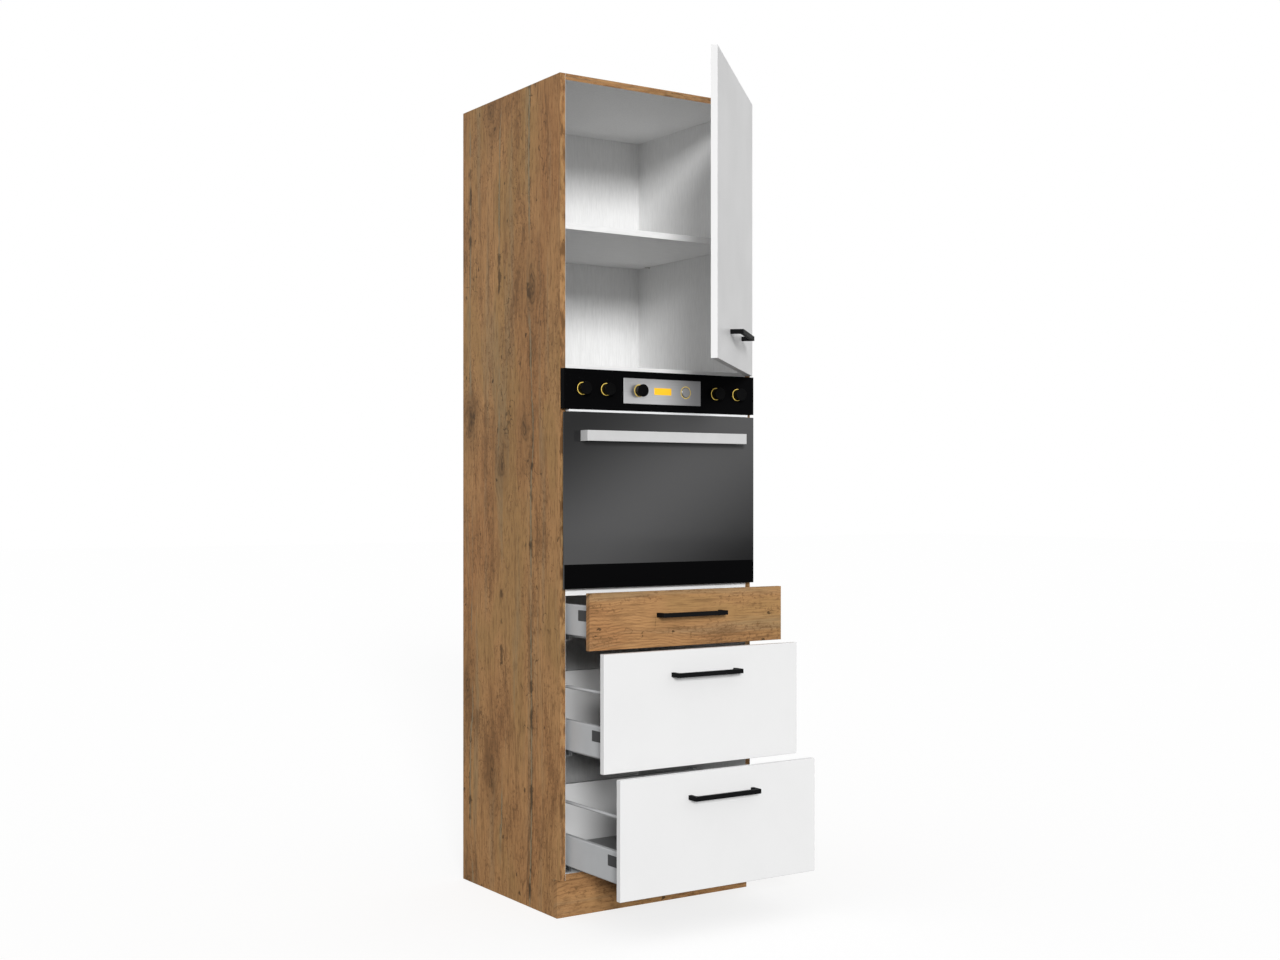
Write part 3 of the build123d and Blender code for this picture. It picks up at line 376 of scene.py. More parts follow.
print(LINE_CYCLES, "growth lines in a metre of board")

# %% [markdown]
# Now the wood is painted, as a decor printer or a grainer would do it: a ground of two browns, then one
# thin coat after another, from broad and weak to small and dark. Each coat is a mask with its strength and
# a stain, so the whole look stands in one list. The last two are bars that only the glued edge shows.

# %% Oak pattern
OAK_LIGHT = (0.464, 0.254, 0.108, 1)
OAK_PALE = (0.440, 0.268, 0.120, 1)
OAK_MIDDLE = (0.382, 0.198, 0.081, 1)
OAK_RED = (0.392, 0.192, 0.079, 1)
OAK_OLIVE = (0.363, 0.211, 0.084, 1)
OAK_DARK = (0.160, 0.084, 0.036, 1)
OAK_CRACK = (0.048, 0.029, 0.015, 1)
OAK_GREY = (0.252, 0.206, 0.128, 1)
FLECK_RISE = 0.5
KNOT_DIP = 0.5


def oak_pattern(tree, grain, tape=None, cracked=1.0, fine=1.0, barred=1.0):
    """Colour and height of the oak.

    A board with cracked at 0 was cut beside the cracks. A higher fine gives narrower, longer fibres, and
    barred is the strength of the bars on the glued edge.
    """
    across, along, glued = board_axes(tree, grain, tape)
    rough = centred(grain_noise(across, along, "rough"))
    bent, knot, patch, rings = knotted_grain(across, along)
    plain_layers = ("tone", "warm", "fibre", "smudge", "veil", "pit")
    tone, warm, fibre, smudge, veil, pit = (grain_noise(bent, along, layer) for layer in plain_layers)
    fleck = grain_noise(bent, along, "fleck", finer=fine, longer=fine)
    streak = grain_noise(bent, along, "streak", finer=fine)
    pits = times(band(pit, 0.53, 0.64), band(smudge, 0.42, 0.58))
    grey, rim, blot = cracks(across, bent, along, rough, fleck, cracked)
    holes = pin_holes(bent, along, rough)
    bars = grain_noise(across, along, "bar")

    coats = (
        (band(tone, 0.28, 0.70), OAK_LIGHT),
        (band(warm, 0.50, 0.66, 0.85), OAK_RED),
        (band(warm, 0.48, 0.34, 0.85), OAK_OLIVE),
        (band(veil, 0.52, 0.70, 0.38), OAK_GREY),
        (times(growth_lines(bent, along, rough, warm, fine), 0.26 * fine), OAK_DARK),
        (band(streak, 0.50, 0.76, 0.50), OAK_DARK),
        (band(smudge, 0.52, 0.74, 0.70), OAK_DARK),
        (times(pits, 0.72), OAK_DARK),
        (band(fleck, 0.48, 0.74, 0.62), OAK_DARK),
        (band(fleck, 0.46, 0.28, 0.55), OAK_LIGHT),
        (band(fibre, 0.48, 0.74, 0.40), OAK_DARK),
        (times(patch, 0.36), OAK_DARK),
        (times(grey, 0.72), OAK_GREY),
        (times(rim, 0.85), OAK_CRACK),
        (times(blot, 0.75), OAK_CRACK),
        (times(hair_cracks(across, along, fleck), 0.70), OAK_CRACK),
        (times(knot, 0.50), OAK_DARK),
        (times(rings, 0.60), OAK_CRACK),
        (times(holes, 0.80), OAK_CRACK),
        (times(band(bars, 0.53, 0.64, 0.5 * barred), glued), OAK_PALE),
        (times(band(bars, 0.52, 0.36, 0.9 * barred), glued), OAK_DARK),
    )
    colour = OAK_MIDDLE
    for strength, stain in coats:
        colour = tinted(strength, colour, stain)
    hollow = plus(maths("ADD", rim, holes), knot, KNOT_DIP)
    return colour, maths("SUBTRACT", times(fleck, FLECK_RISE), hollow)


print("oak pattern ready")

# %% [markdown]
# The plinth and the top drawer front are oak all over, with the grain lying. One material could serve for
# both, but the front is a calmer cut with finer fibres and no cracks, so each gets its own tree from the
# same recipe. The hollows of the print are a little duller than the face, as in embossed decor.

# %% Plinth and top drawer front
HOLLOW_DEPTH = (-1.0, 0.5)
HOLLOW_ROUGHNESS = 0.72
FACE_ROUGHNESS = 0.54


def oak_finish(name, cracked, fine):
    """Oak decor with lying grain, with or without cracks."""
    material, tree, shader = start_finish(name, OAK_MIDDLE, roughness=0.55, specular=0.1)
    colour, height = oak_pattern(tree, "X", cracked=cracked, fine=fine)
    feed(shader, "Base Color", colour)
    low, high = HOLLOW_DEPTH
    gloss = add(tree, "MapRange", {0: height, 1: low, 2: high, 3: HOLLOW_ROUGHNESS, 4: FACE_ROUGHNESS})
    feed(shader, "Roughness", gloss.outputs[0])
    emboss(shader, height, strength=0.35, distance=0.0003)
    return material


dress(oak_finish("oak plinth", cracked=1.0, fine=1.0), "plinth")
dress(oak_finish("oak drawer front", cracked=0.0, fine=1.8), "drawer_1_front")
print("oak on the plinth and the top drawer front")

# %% [markdown]
# ## White board
#
# Inside, the boards are white: a melamine face with a very fine texture. Plain white would look like
# paper, and real dents would take millions of faces. A faint streak and a weave in the colour and a
# shallow bump are enough at this scale.

# %% White shelves
WHITE_BOARD = (0.885, 0.885, 0.882, 1)
WHITE_SHADE = (0.84, 0.84, 0.837, 1)
WHITE_WEAVE = (0.72, 0.72, 0.717, 1)
STREAK_RISE = 0.7
PIMPLE_RISE = 0.3


def white_pattern(tree, grain):
    """Colour and height of the white face: a faint streak along the board, a weave and a fine grain."""
    streak = cloud(tree, along_grain(grain, across=340.0, along=3.0))
    weave = cloud(tree, along_grain(grain, across=300.0, along=30.0), detail=4.0, roughness=0.65)
    pimple = cloud(tree, 1100.0, detail=1.0)
    colour = tinted(band(streak, 0.42, 0.75), WHITE_BOARD, WHITE_SHADE)
    colour = tinted(band(weave, 0.30, 0.75, 0.5), colour, WHITE_WEAVE)
    return colour, plus(times(streak, STREAK_RISE), pimple, PIMPLE_RISE)


def white_finish(name, grain):
    """White melamine with its fine texture along one axis."""
    material, tree, shader = start_finish(name, WHITE_BOARD, roughness=0.5, specular=0.2)
    colour, height = white_pattern(tree, grain)
    feed(shader, "Base Color", colour)
    emboss(shader, height, strength=0.25, distance=0.0001)
    return material


shelves = ("oven_shelf_lower", "oven_shelf_upper", "adjustable_shelf")
dress(white_finish("white board, texture across", "X"), *shelves)
print("white on", len(shelves), "shelves")

# %% [markdown]
# The sides are oak on the outside and on their front edge, and white on the inner face. The top and bottom
# boards are white with an oak front edge. Two materials on one board would mean sorting its faces. One
# finish holds both looks instead and changes over at a place: just short of the inner face, or just behind
# the front edge.

# %% Boards with two faces
EDGE = 0.0004
left_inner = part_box("side_left")[1][0]
right_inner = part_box("side_right")[0][0]
front_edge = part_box("top_panel")[0][1]
tape_end = front_edge + EDGE


def change_over(shader, mask, first, second, strength, distance):
    """Give a shader two patterns, each a colour with its height: the second one where the mask is 1."""
    feed(shader, "Base Color", tinted(mask, first[0], second[0]))
    height = add(shader.id_data, "Mix", {0: mask, 2: first[1], 3: second[1]}, data_type="FLOAT")
    emboss(shader, height.outputs[0], strength, distance)


def two_sided_finish(name, grain, axis, limit, oak_above, barred=1.0):
    """Oak on one side of a limit and white on the other, with a glued front edge."""
    material, tree, shader = start_finish(name, OAK_MIDDLE, roughness=0.55, specular=0.1)
    place = object_axes(tree)["XYZ".index(axis)]
    is_oak = maths("GREATER_THAN" if oak_above else "LESS_THAN", place, limit)
    oak = oak_pattern(tree, grain, tape_end, barred=barred)
    change_over(shader, is_oak, white_pattern(tree, "Z"), oak, strength=0.3, distance=0.0003)
    return material


left_side = two_sided_finish("oak side, white inside, left", "Z", "X", left_inner - EDGE, oak_above=False)
right_side = two_sided_finish("oak side, white inside, right", "Z", "X", right_inner + EDGE, oak_above=True)
lying_board = two_sided_finish("white board, oak edge", "X", "Y", tape_end, oak_above=False, barred=0.35)
dress(left_side, "side_left")
dress(right_side, "side_right")
dress(lying_board, "top_panel", "bottom_panel")
print("white inner faces at", round(left_inner, 4), "and", round(right_inner, 4))

# %% [markdown]
# The thin backs are hardboard, white on the side that shows and raw brown on the side towards the wall.
# Raw hardboard is pressed fibre: short specks with no direction, over a faint cloud. A second sheet behind
# could carry the brown, but the change by place does it too, through the thickness of the back.

# %% Hardboard backs
RAW_BROWN = (0.235, 0.142, 0.078, 1)
RAW_PALE = (0.330, 0.215, 0.125, 1)
RAW_DARK = (0.120, 0.070, 0.038, 1)


def back_finish(name, limit):
    """White in front of a place on Y, raw hardboard behind it."""
    material, tree, shader = start_finish(name, WHITE_BOARD, roughness=0.5, specular=0.2)
    is_raw = maths("GREATER_THAN", object_axes(tree)[1], limit)
    mist = cloud(tree, 5.0, detail=4.0)
    fibre = cloud(tree, 330.0, detail=4.0, roughness=0.7)
    raw = tinted(band(mist, 0.36, 0.66, 0.5), RAW_BROWN, RAW_PALE)
    raw = tinted(band(fibre, 0.52, 0.70, 0.7), raw, RAW_DARK)
    raw = tinted(band(fibre, 0.46, 0.30, 0.6), raw, RAW_PALE)
    white = white_pattern(tree, "Z")
    change_over(shader, is_raw, white, (raw, fibre), strength=0.25, distance=0.0001)
    return material


back_low, back_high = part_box("back_panel_upper")
dress(back_finish("hardboard back", back_high[1] - EDGE), "back_panel_lower", "back_panel_upper")
print("hardboard backs", round(back_high[1] - back_low[1], 4), "thick")

# %% [markdown]
# The door and the two lower drawer fronts are smooth and white, the drawer bottoms are dark grey boards
# and the drawer backs pale grey ones. One flat colour would look like cut paper. Each finish keeps a
# slight unevenness in its gloss and tone instead, as a pressed or lacquered face has.

# %% Fronts, drawer bottoms and drawer backs
DRAWERS = (1, 2, 3)
UNEVEN = (0.35, 0.70)
LACQUER_SHADE = 0.985


def in_each_drawer(part):
    """The names of one part of all drawers."""
    return [f"drawer_{number}_{part}" for number in DRAWERS]


def lacquer_finish(name, colour, roughness, cycles, relief, specular=0.3):
    """A smooth lacquered or pressed face whose gloss and tone wander a little."""
    material, tree, shader = start_finish(name, colour, roughness, specular=specular)
    wander = cloud(tree, 7.0, detail=4.0)
    vary_gloss(shader, wander, roughness, less=0.05, more=0.07)
    shade = tuple(value * LACQUER_SHADE for value in colour)
    feed(shader, "Base Color", tinted(band(wander, *UNEVEN), (*colour, 1), (*shade, 1)))
    emboss(shader, cloud(tree, cycles, detail=2.0), strength=0.2, distance=relief)
    return material


white_front = lacquer_finish(
    "white front", (0.765, 0.765, 0.765), roughness=0.4, cycles=420.0, relief=0.00001, specular=0.2
)
dark_bottom = lacquer_finish(
    "dark grey drawer bottom", (0.26, 0.262, 0.266), roughness=0.6, cycles=700.0, relief=0.0001
)
pale_back = lacquer_finish(
    "pale grey drawer back", (0.66, 0.66, 0.66), roughness=0.5, cycles=700.0, relief=0.0001, specular=0.2
)
dress(white_front, "door_panel", "drawer_2_front", "drawer_3_front")
dress(dark_bottom, *in_each_drawer("bottom"))
dress(pale_back, *in_each_drawer("back"))
print("fronts, drawer bottoms and drawer backs done")

# %% [markdown]
# ## Metal
#
# The drawer sides are powder-coated light grey and the handles black, the runners are bare galvanised
# steel and the hinges nickel-plated. Powder coat is a fine orange-peel bump; bare steel gets brushing
# along its length and a cloudy gloss. An anisotropic shader could brush the metal too, but the bump shows
# its lines close to.

# %% Metal finishes
POWDER_SHINE = 1.05
POWDER_LIFT = 0.001
BRUSH_SHADE = 0.86


def powder_finish(name, colour, roughness, specular=0.35):
    """Powder-coated steel: an even colour with a fine orange-peel relief."""
    material, tree, shader = start_finish(name, colour, roughness, specular=specular)
    rubbed = cloud(tree, 18.0, detail=4.0)
    lighter = tuple(min(1.0, value * POWDER_SHINE + POWDER_LIFT) for value in colour)
    feed(shader, "Base Color", tinted(band(rubbed, *UNEVEN), (*colour, 1), (*lighter, 1)))
    vary_gloss(shader, rubbed, roughness, less=0.05, more=0.06)
    emboss(shader, cloud(tree, 1500.0, detail=1.0), strength=0.3, distance=0.00004)
    return material


def bare_metal_finish(name, colour, roughness, grain):
    """Bare metal brushed along one axis, with a cloudy gloss."""
    material, tree, shader = start_finish(name, colour, roughness, metallic=1.0)
    brush = cloud(tree, along_grain(grain, across=900.0, along=8.0), detail=2.0)
    vary_gloss(shader, cloud(tree, 25.0, detail=4.0), roughness, less=0.06, more=0.1)
    darker = tuple(value * BRUSH_SHADE for value in colour)
    feed(shader, "Base Color", tinted(brush, (*darker, 1), (*colour, 1)))
    emboss(shader, brush, strength=0.25, distance=0.00003)
    return material


drawer_steel = powder_finish("light grey drawer steel", (0.46, 0.47, 0.48), roughness=0.45)
dress(drawer_steel, *in_each_drawer("sides"), "drawer_2_gallery", "drawer_3_gallery")
black_bar = powder_finish("black handle", (0.007, 0.007, 0.0075), roughness=0.5, specular=0.02)
dress(black_bar, "door_handle", *in_each_drawer("handle"))
galvanised = bare_metal_finish("galvanised steel", (0.62, 0.63, 0.64), roughness=0.38, grain="Y")
dress(galvanised, "drawer_runners", *in_each_drawer("slides"), "wall_brackets", "oven_door_hinges")
nickel = bare_metal_finish("nickel hinge", (0.72, 0.71, 0.69), roughness=0.24, grain="Z")
dress(nickel, "hinge_plates", "hinge_arms", "hinge_links", "hinge_cups", "shelf_pins")
zinc = bare_metal_finish("zinc connector", (0.55, 0.55, 0.54), roughness=0.45, grain="X")
dress(zinc, "cam_locks")
print("metal done")

# %% [markdown]
# ## Oven
#
# The oven's front is black: a control panel with a brushed steel plate, and a glass door whose window is
# mirror tinted, with a painted reflection that makes it lighter along one diagonal. A true mirror would
# show whatever stands round the cabinet. The painted reflection is put in the glass's colour instead, so it
# is a pattern on object coordinates, measured across the door from corner to corner. The plate's painted
# reflection, even at first and then darker to the right, is done likewise.

# %% Oven glass and control plate
WINDOW_LOW = 0.0615
# Painted reflection: the lightest glass colour lies along the window's diagonal; the darkest is the glass's
# own tint.
GLASS_PAINTED_REFLECTION = (0.074, 0.074, 0.075, 1)
GLASS_MIDDLE = (0.03, 0.03, 0.032, 1)
GLASS_DARK = (0.011, 0.011, 0.0115, 1)
GLASS_BELOW = 0.84
REFLECTION_FADE = 0.92
GLASS_ROUGHNESS = 0.06
# Painted reflection: the plate keeps its light colour on the left and turns to the dark one at its right
# end; the dark colour also draws the brush lines.
PLATE_LIGHT = (0.71, 0.71, 0.715, 1)
PLATE_REFLECTION_AND_BRUSH_DARK = (0.20, 0.20, 0.205, 1)
PLATE_EVEN = 0.36


def window_with_painted_reflection(name):
    """Tinted mirror glass with a painted reflection: lightest on the diagonal from the lower left to the
    upper right corner.
    """
    low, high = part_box("oven_door_glass")
    material, tree, shader = start_finish(name, GLASS_MIDDLE, GLASS_ROUGHNESS, IOR=1.3)
    axes = object_axes(tree)
    sideways = add(tree, "MapRange", {0: axes[0], 1: low[0], 2: high[0]}).outputs[0]
    upwards = add(tree, "MapRange", {0: axes[2], 1: low[2] + WINDOW_LOW, 2: high[2]}).outputs[0]
    below = maths("SUBTRACT", sideways, upwards)
    above = maths("SUBTRACT", upwards, sideways)
    off = maths("MAXIMUM", times(below, GLASS_BELOW), above)
    # Painted reflection: lightest on the diagonal, fading to the dark glass away from it.
    feed(shader, "Base Color", tinted(band(off, 0.0, REFLECTION_FADE), GLASS_PAINTED_REFLECTION, GLASS_DARK))
    vary_gloss(shader, cloud(tree, 14.0, detail=4.0), GLASS_ROUGHNESS, less=0.02, more=0.03)
    return material


def steel_with_painted_reflection(name, node):
    """Steel brushed along X, with a painted reflection: even over the left part of a piece and darker
    towards its right end.
    """
    low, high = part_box(node)
    turn = low[0] + PLATE_EVEN * (high[0] - low[0])
    material, tree, shader = start_finish(name, PLATE_LIGHT, roughness=0.38, metallic=1.0)
    # Painted reflection: the steel darkens from the turn to the right end of the piece, on the button as
    # well.
    tone = tinted(band(object_axes(tree)[0], turn, high[0]), PLATE_LIGHT, PLATE_REFLECTION_AND_BRUSH_DARK)
    brush = cloud(tree, along_grain("X", across=1400.0, along=8.0), detail=2.0)
    feed(shader, "Base Color", tinted(band(brush, 0.35, 0.9, 0.2), tone, PLATE_REFLECTION_AND_BRUSH_DARK))
    emboss(shader, brush, strength=0.25, distance=0.00003)
    return material


control_steel = steel_with_painted_reflection("brushed control plate, painted reflection", "oven_control_plate")
dress(window_with_painted_reflection("tinted oven glass, painted reflection"), "oven_door_glass")
dress(control_steel, "oven_control_plate", "oven_button")
print("tinted window with painted reflection from", WINDOW_LOW, "m above the foot of the glass")

# %% [markdown]
# The rest of the oven needs no new recipe: panel, cavity and seal have smooth faces, knobs, handle and
# frames are coated, and casing and heating rod are bare metal. Only the clear pane inside the door and the
# yellow display are set by their sockets alone. One lets light through, and the other gives a little of its
# own, so it reads as lit without lighting the panel.

# %% Other oven finishes
KNOBS = [f"oven_knob_{number}" for number in range(1, 6)]

black_print = lacquer_finish(
    "black oven front", (0.0025, 0.0025, 0.0028), roughness=0.35, cycles=300.0, relief=0.00002,
    specular=0.012,
)
enamel = lacquer_finish("dark enamel", (0.03, 0.031, 0.036), roughness=0.22, cycles=500.0, relief=0.00006)
seal = lacquer_finish("oven seal", (0.05, 0.05, 0.05), roughness=0.8, cycles=800.0, relief=0.0002)
pale_steel = powder_finish("pale oven frame", (0.86, 0.87, 0.88), roughness=0.45)
dress(black_print, "oven_control_panel")
dress(enamel, "oven_cavity", "oven_fan_cover")
dress(seal, "oven_gasket")
dress(pale_steel, "oven_front_frame", "oven_door_frame")
dress(powder_finish("black knob", (0.0028, 0.0028, 0.003), roughness=0.45, specular=0.03), *KNOBS)
dress(powder_finish("silver oven handle", (0.56, 0.56, 0.56), roughness=0.38), "oven_door_handle")
dress(bare_metal_finish("oven casing sheet", (0.6, 0.61, 0.62), roughness=0.42, grain="Z"), "oven_casing")
heating_rod = bare_metal_finish("heating rod", (0.2, 0.19, 0.18), roughness=0.5, grain="Y")
dress(heating_rod, "oven_heating_element")

clear = {"Transmission_Weight": 0.9, "IOR": 1.45}
lit = {"specular": 0.1, "Emission_Color": (1.0, 0.55, 0.03, 1), "Emission_Strength": 0.18}
clear_pane = start_finish("inner oven glass", (0.5, 0.52, 0.52), roughness=0.04, **clear)[0]
dress(clear_pane, "oven_door_inner_glass")
dress(start_finish("yellow display", (0.92, 0.52, 0.025), roughness=0.3, **lit)[0], "oven_display")
print("oven finishes done")

# %% [markdown]
# ## Trim
#
# Some thin pieces sit on the bare shapes: strips on the oven, plain caps on the drawer sides, yellow rings
# round the controls, and the heads of screws and nails. They could be cut from cubes and cylinders. Here
# each is a surface worked out with numpy instead, so its outline is a formula and its size a named value.
# Rings of points are stacked, joined by faces with four corners, and a fan of triangles closes each end.
# Every new piece rides a body.

# %% Surface helpers
# The directions to the right, up and out for a piece that faces a side
FACING = {
    "front": ((1, 0, 0), (0, 0, 1), (0, -1, 0)),
    "left": ((0, -1, 0), (0, 0, 1), (-1, 0, 0)),
    "right": ((0, 1, 0), (0, 0, 1), (1, 0, 0)),
    "top": ((1, 0, 0), (0, 1, 0), (0, 0, 1)),
    "rear": ((-1, 0, 0), (0, 0, 1), (0, 1, 0)),
}


def quads(rows, columns, closed_rows):
    """Corner numbers of the faces of a grid that closes round its columns, and round its rows if wanted."""
    row = np.arange(rows if closed_rows else rows - 1)[:, None]
    column = np.arange(columns)[None, :]
    after = (column + 1) % columns
    above = (row + 1) % rows
    lower = (row * columns + column, row * columns + after)
    upper = (above * columns + after, above * columns + column)
    return np.stack(lower + upper, axis=-1).reshape(-1, 4)


def fan(first, columns, pole, outward):
    """Triangles from one ring of points to an end point."""
    column = np.arange(columns)
    after = (column + 1) % columns
    pair = (column, after) if outward else (after, column)
    return np.stack((first + pair[0], first + pair[1], np.full(columns, pole)), axis=-1)


def at_places(points, places, facing):
    """Copies of points given as right, up and out, set at each place and turned to face a side."""
    turned = points @ np.array(FACING[facing], dtype=float)
    return (np.array(places, dtype=float)[:, None, :] + turned[None, :, :]).reshape(-1, 3)


def repeated(faces, size, count):
    """Faces of several copies: corner numbers moved on by the number of points for each copy."""
    onward = size * np.arange(count)[:, None, None]
    return [(block[None, :, :] + onward).reshape(-1, block.shape[1]) for block in faces]


def add_piece(name, points, faces, body, material, smooth=True):
    """Make a mesh of points and blocks of faces in the cabinet's own frame and let it ride a body."""
    mesh = bpy.data.meshes.new(name)
    mesh.from_pydata(points.tolist(), [], sum((block.tolist() for block in faces), []))
    mesh.polygons.foreach_set("use_smooth", np.full(len(mesh.polygons), smooth))
    mesh.materials.append(material)
    piece = bpy.data.objects.new(name, mesh)
    bpy.context.scene.collection.objects.link(piece)
    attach(piece, body)
    print(name, "on", body, "with", len(mesh.polygons), "faces")


def add_copies(name, shape, places, facing, body, material, smooth=True):
    """One piece with a copy of a shape at each place."""
    points, faces = shape
    faces = repeated(faces, len(points), len(places))
    add_piece(name, at_places(points, places, facing), faces, body, material, smooth)


print("surface helpers ready")

# %% [markdown]
# The strips on the oven are rounded plates. Seen from the front, the outline is four quarter circles joined
# by straight runs; from the side, the edge is turned over by a small slope that catches the light. A Bevel
# modifier on a box would come close, but here both roundings are set apart. The black strip covers the foot
# of the glass from edge to edge, and the pale one fills the slot between panel and door.

# %% Strips on the oven
STRIP_INSET = 0.0006
SLOT_GAP = 0.0009


def outline(width, height, corner, steps=6):
    """Points round a rectangle with quarter circles at its corners, anticlockwise from the right."""
    angle = np.linspace(0, pi / 2, steps)[None, :] + np.arange(4)[:, None] * pi / 2
    side = np.array([[1, 1], [-1, 1], [-1, -1], [1, -1]]) * (width / 2 - corner, height / 2 - corner)
    across = side[:, :1] + corner * np.cos(angle)
    up = side[:, 1:] + corner * np.sin(angle)
    return np.stack((across.ravel(), up.ravel()), axis=-1)


def plate(width, height, corner, thickness, slope):
    """A closed rounded plate: outlines at the back, at the edge and, drawn in by the slope, on the face."""
    edge = outline(width, height, corner)
    face = outline(width - 2 * slope, height - 2 * slope, corner - slope / 2)
    columns = len(edge)
    rings = [(edge, 0.0), (edge, thickness - slope), (face, thickness)]
    points = np.concatenate([np.column_stack((ring, np.full(columns, depth))) for ring, depth in rings])
    points = np.vstack((points, (0, 0, 0), (0, 0, thickness)))
    back_pole = len(rings) * columns
    back = fan(0, columns, back_pole, outward=False)
    front = fan(back_pole - columns, columns, back_pole + 1, outward=True)
    return points, [quads(len(rings), columns, closed_rows=False), back, front]


glass_low, glass_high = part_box("oven_door_glass")
strip_wide = glass_high[0] - glass_low[0] - 2 * STRIP_INSET
strip_tall = WINDOW_LOW - STRIP_INSET
strip = plate(strip_wide, strip_tall, corner=0.0008, thickness=0.0003, slope=0.0001)
strip_at = (0, glass_low[1], glass_low[2] + STRIP_INSET + strip_tall / 2)
add_copies("oven_window_foot_strip", strip, [strip_at], "front", "oven_door", black_print, smooth=False)

frame_low, frame_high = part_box("oven_front_frame")
slot_wide = frame_high[0] - frame_low[0]
slot_low = glass_high[2] + SLOT_GAP
slot_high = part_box("oven_control_panel")[0][2] - SLOT_GAP
slot = plate(slot_wide, slot_high - slot_low, corner=0.0008, thickness=0.013, slope=0.0004)
slot_at = (0, frame_low[1], (slot_low + slot_high) / 2)
add_copies("oven_slot_strip", slot, [slot_at], "front", "carcass", pale_steel, smooth=False)

# %% [markdown]
# A dark plastic cap covers the fixing of the front in each drawer side. A picture on the side would have
# no edge, so it is the same rounded plate again. The two caps of a drawer are one piece, because they
# always move together.

# %% Caps on the drawer sides
CAP_LONG = 0.060
CAP_TALL = 0.027
CAP_BELOW_TOP = 0.012
CAP_BEHIND_FRONT = 0.021
cap_dark = lacquer_finish(
    "dark side cap", (0.055, 0.056, 0.058), roughness=0.45, cycles=600.0, relief=0.00005
)
cap_points, cap_faces = plate(CAP_LONG, CAP_TALL, corner=0.0015, thickness=0.0008, slope=0.0003)
pair_faces = repeated(cap_faces, len(cap_points), 2)
for number in DRAWERS:
    low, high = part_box(f"drawer_{number}_sides")
    middle = (low[1] + CAP_BEHIND_FRONT + CAP_LONG / 2, high[2] - CAP_BELOW_TOP - CAP_TALL / 2)
    left_points = at_places(cap_points, [(low[0], *middle)], "left")
    right_points = at_places(cap_points, [(high[0], *middle)], "right")
    points = np.vstack((left_points, right_points))
    add_piece(f"drawer_{number}_side_caps", points, pair_faces, f"drawer_{number}", cap_dark, smooth=False)

# %% [markdown]
# A yellow ring lies round every control, as a light guide would. It could be a circle in the panel's
# finish, but as a piece it keeps a clean edge at any distance. Each ring is a flat ellipse carried round a
# circle, half sunk in the panel, so only a low bead shows. The rings stay put while the knobs turn.

# %% Rings round the controls
RING_MIDDLE = 0.0152
RING_HALF = 0.0010
RING_RISE = 0.0003


def ring(middle, half, rise, steps=64, section=10):
    """An ellipse, half wide and rise high, carried round a circle of the middle radius."""
    turn = np.linspace(0, 2 * pi, section, endpoint=False)[:, None]
    angle = np.linspace(0, 2 * pi, steps, endpoint=False)[None, :]
    radius = middle + half * np.cos(turn)
    lift = np.broadcast_to(rise * np.sin(turn), (section, steps))
    points = np.stack((radius * np.cos(angle), radius * np.sin(angle), lift), axis=-1)
    return points.reshape(-1, 3), [quads(section, steps, closed_rows=True)[:, ::-1]]


panel_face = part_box("oven_control_panel")[0][1]
plate_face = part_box("oven_control_plate")[0][1]
control_boxes = [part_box(knob) for knob in KNOBS] + [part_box("oven_button")]
# The third knob and the button stand on the plate
control_faces = [panel_face, panel_face, plate_face, panel_face, panel_face, plate_face]
ring_places = [
    ((low[0] + high[0]) / 2, face, (low[2] + high[2]) / 2)
    for (low, high), face in zip(control_boxes, control_faces)
]
lit_ring = {"specular": 0.2, "Emission_Color": (1.0, 0.72, 0.16, 1), "Emission_Strength": 0.12}
yellow = start_finish("yellow control ring", (0.86, 0.62, 0.13), roughness=0.4, **lit_ring)[0]
light_guide = ring(RING_MIDDLE, RING_HALF, RING_RISE)
add_copies("control_rings", light_guide, ring_places, "front", "carcass", yellow)

# %% [markdown]
# The hinges are screwed on with low cross-headed screws. Cutting the cross with a Boolean would leave
# ragged faces. A head is a height over a disc instead: a shallow dome, less a cross with soft walls, whose
# measures are shares of the head's radius.

# %% Screw heads
CROSS_HALF = 0.17
CROSS_WALL = 0.06
CROSS_REACH = 0.62
CROSS_END = 0.08
DOME_SHARE = 1.15


def screw(radius, dome, depth, rings=14, columns=64):
    """A dome over a disc, lower by the square of the radius, less a cross with soft walls."""
    share = (np.arange(1, rings + 1) / rings)[:, None]
    angle = np.linspace(0, 2 * pi, columns, endpoint=False)[None, :]
    across = share * np.cos(angle)
    up = share * np.sin(angle)
    arm = np.clip((CROSS_HALF - np.minimum(np.abs(across), np.abs(up))) / CROSS_WALL, 0, 1)
    reach = np.clip((CROSS_REACH - share) / CROSS_END, 0, 1)
    height = dome * (DOME_SHARE - share**2) - depth * arm * reach
    points = np.stack((radius * across, radius * up, height), axis=-1)[::-1].reshape(-1, 3)
    points = np.vstack((points, (0, 0, DOME_SHARE * dome - depth), (0, 0, 0)))
    tip = rings * columns
    front = fan(tip - columns, columns, tip, outward=True)
    back = fan(0, columns, tip + 1, outward=False)
    return points, [quads(rings, columns, closed_rows=False), front, back]


def add_screws(name, places, facing, body, radius=0.0034, dome=0.0009, depth=0.0011, material=nickel):
    """One piece with a screw at each place."""
    add_copies(name, screw(radius, dome, depth), places, facing, body, material)


print("screw heads with a cross", 2 * CROSS_HALF, "of the radius wide")

# %% [markdown]
# Each hinge has two screws in the wings of its plate, one in its arm and two in the wings of its cup.
# Their places could be read off in the viewport. Here they follow from the plates and, on the door, from
# the pivot it turns on, so they stay right if the cabinet's size changes.

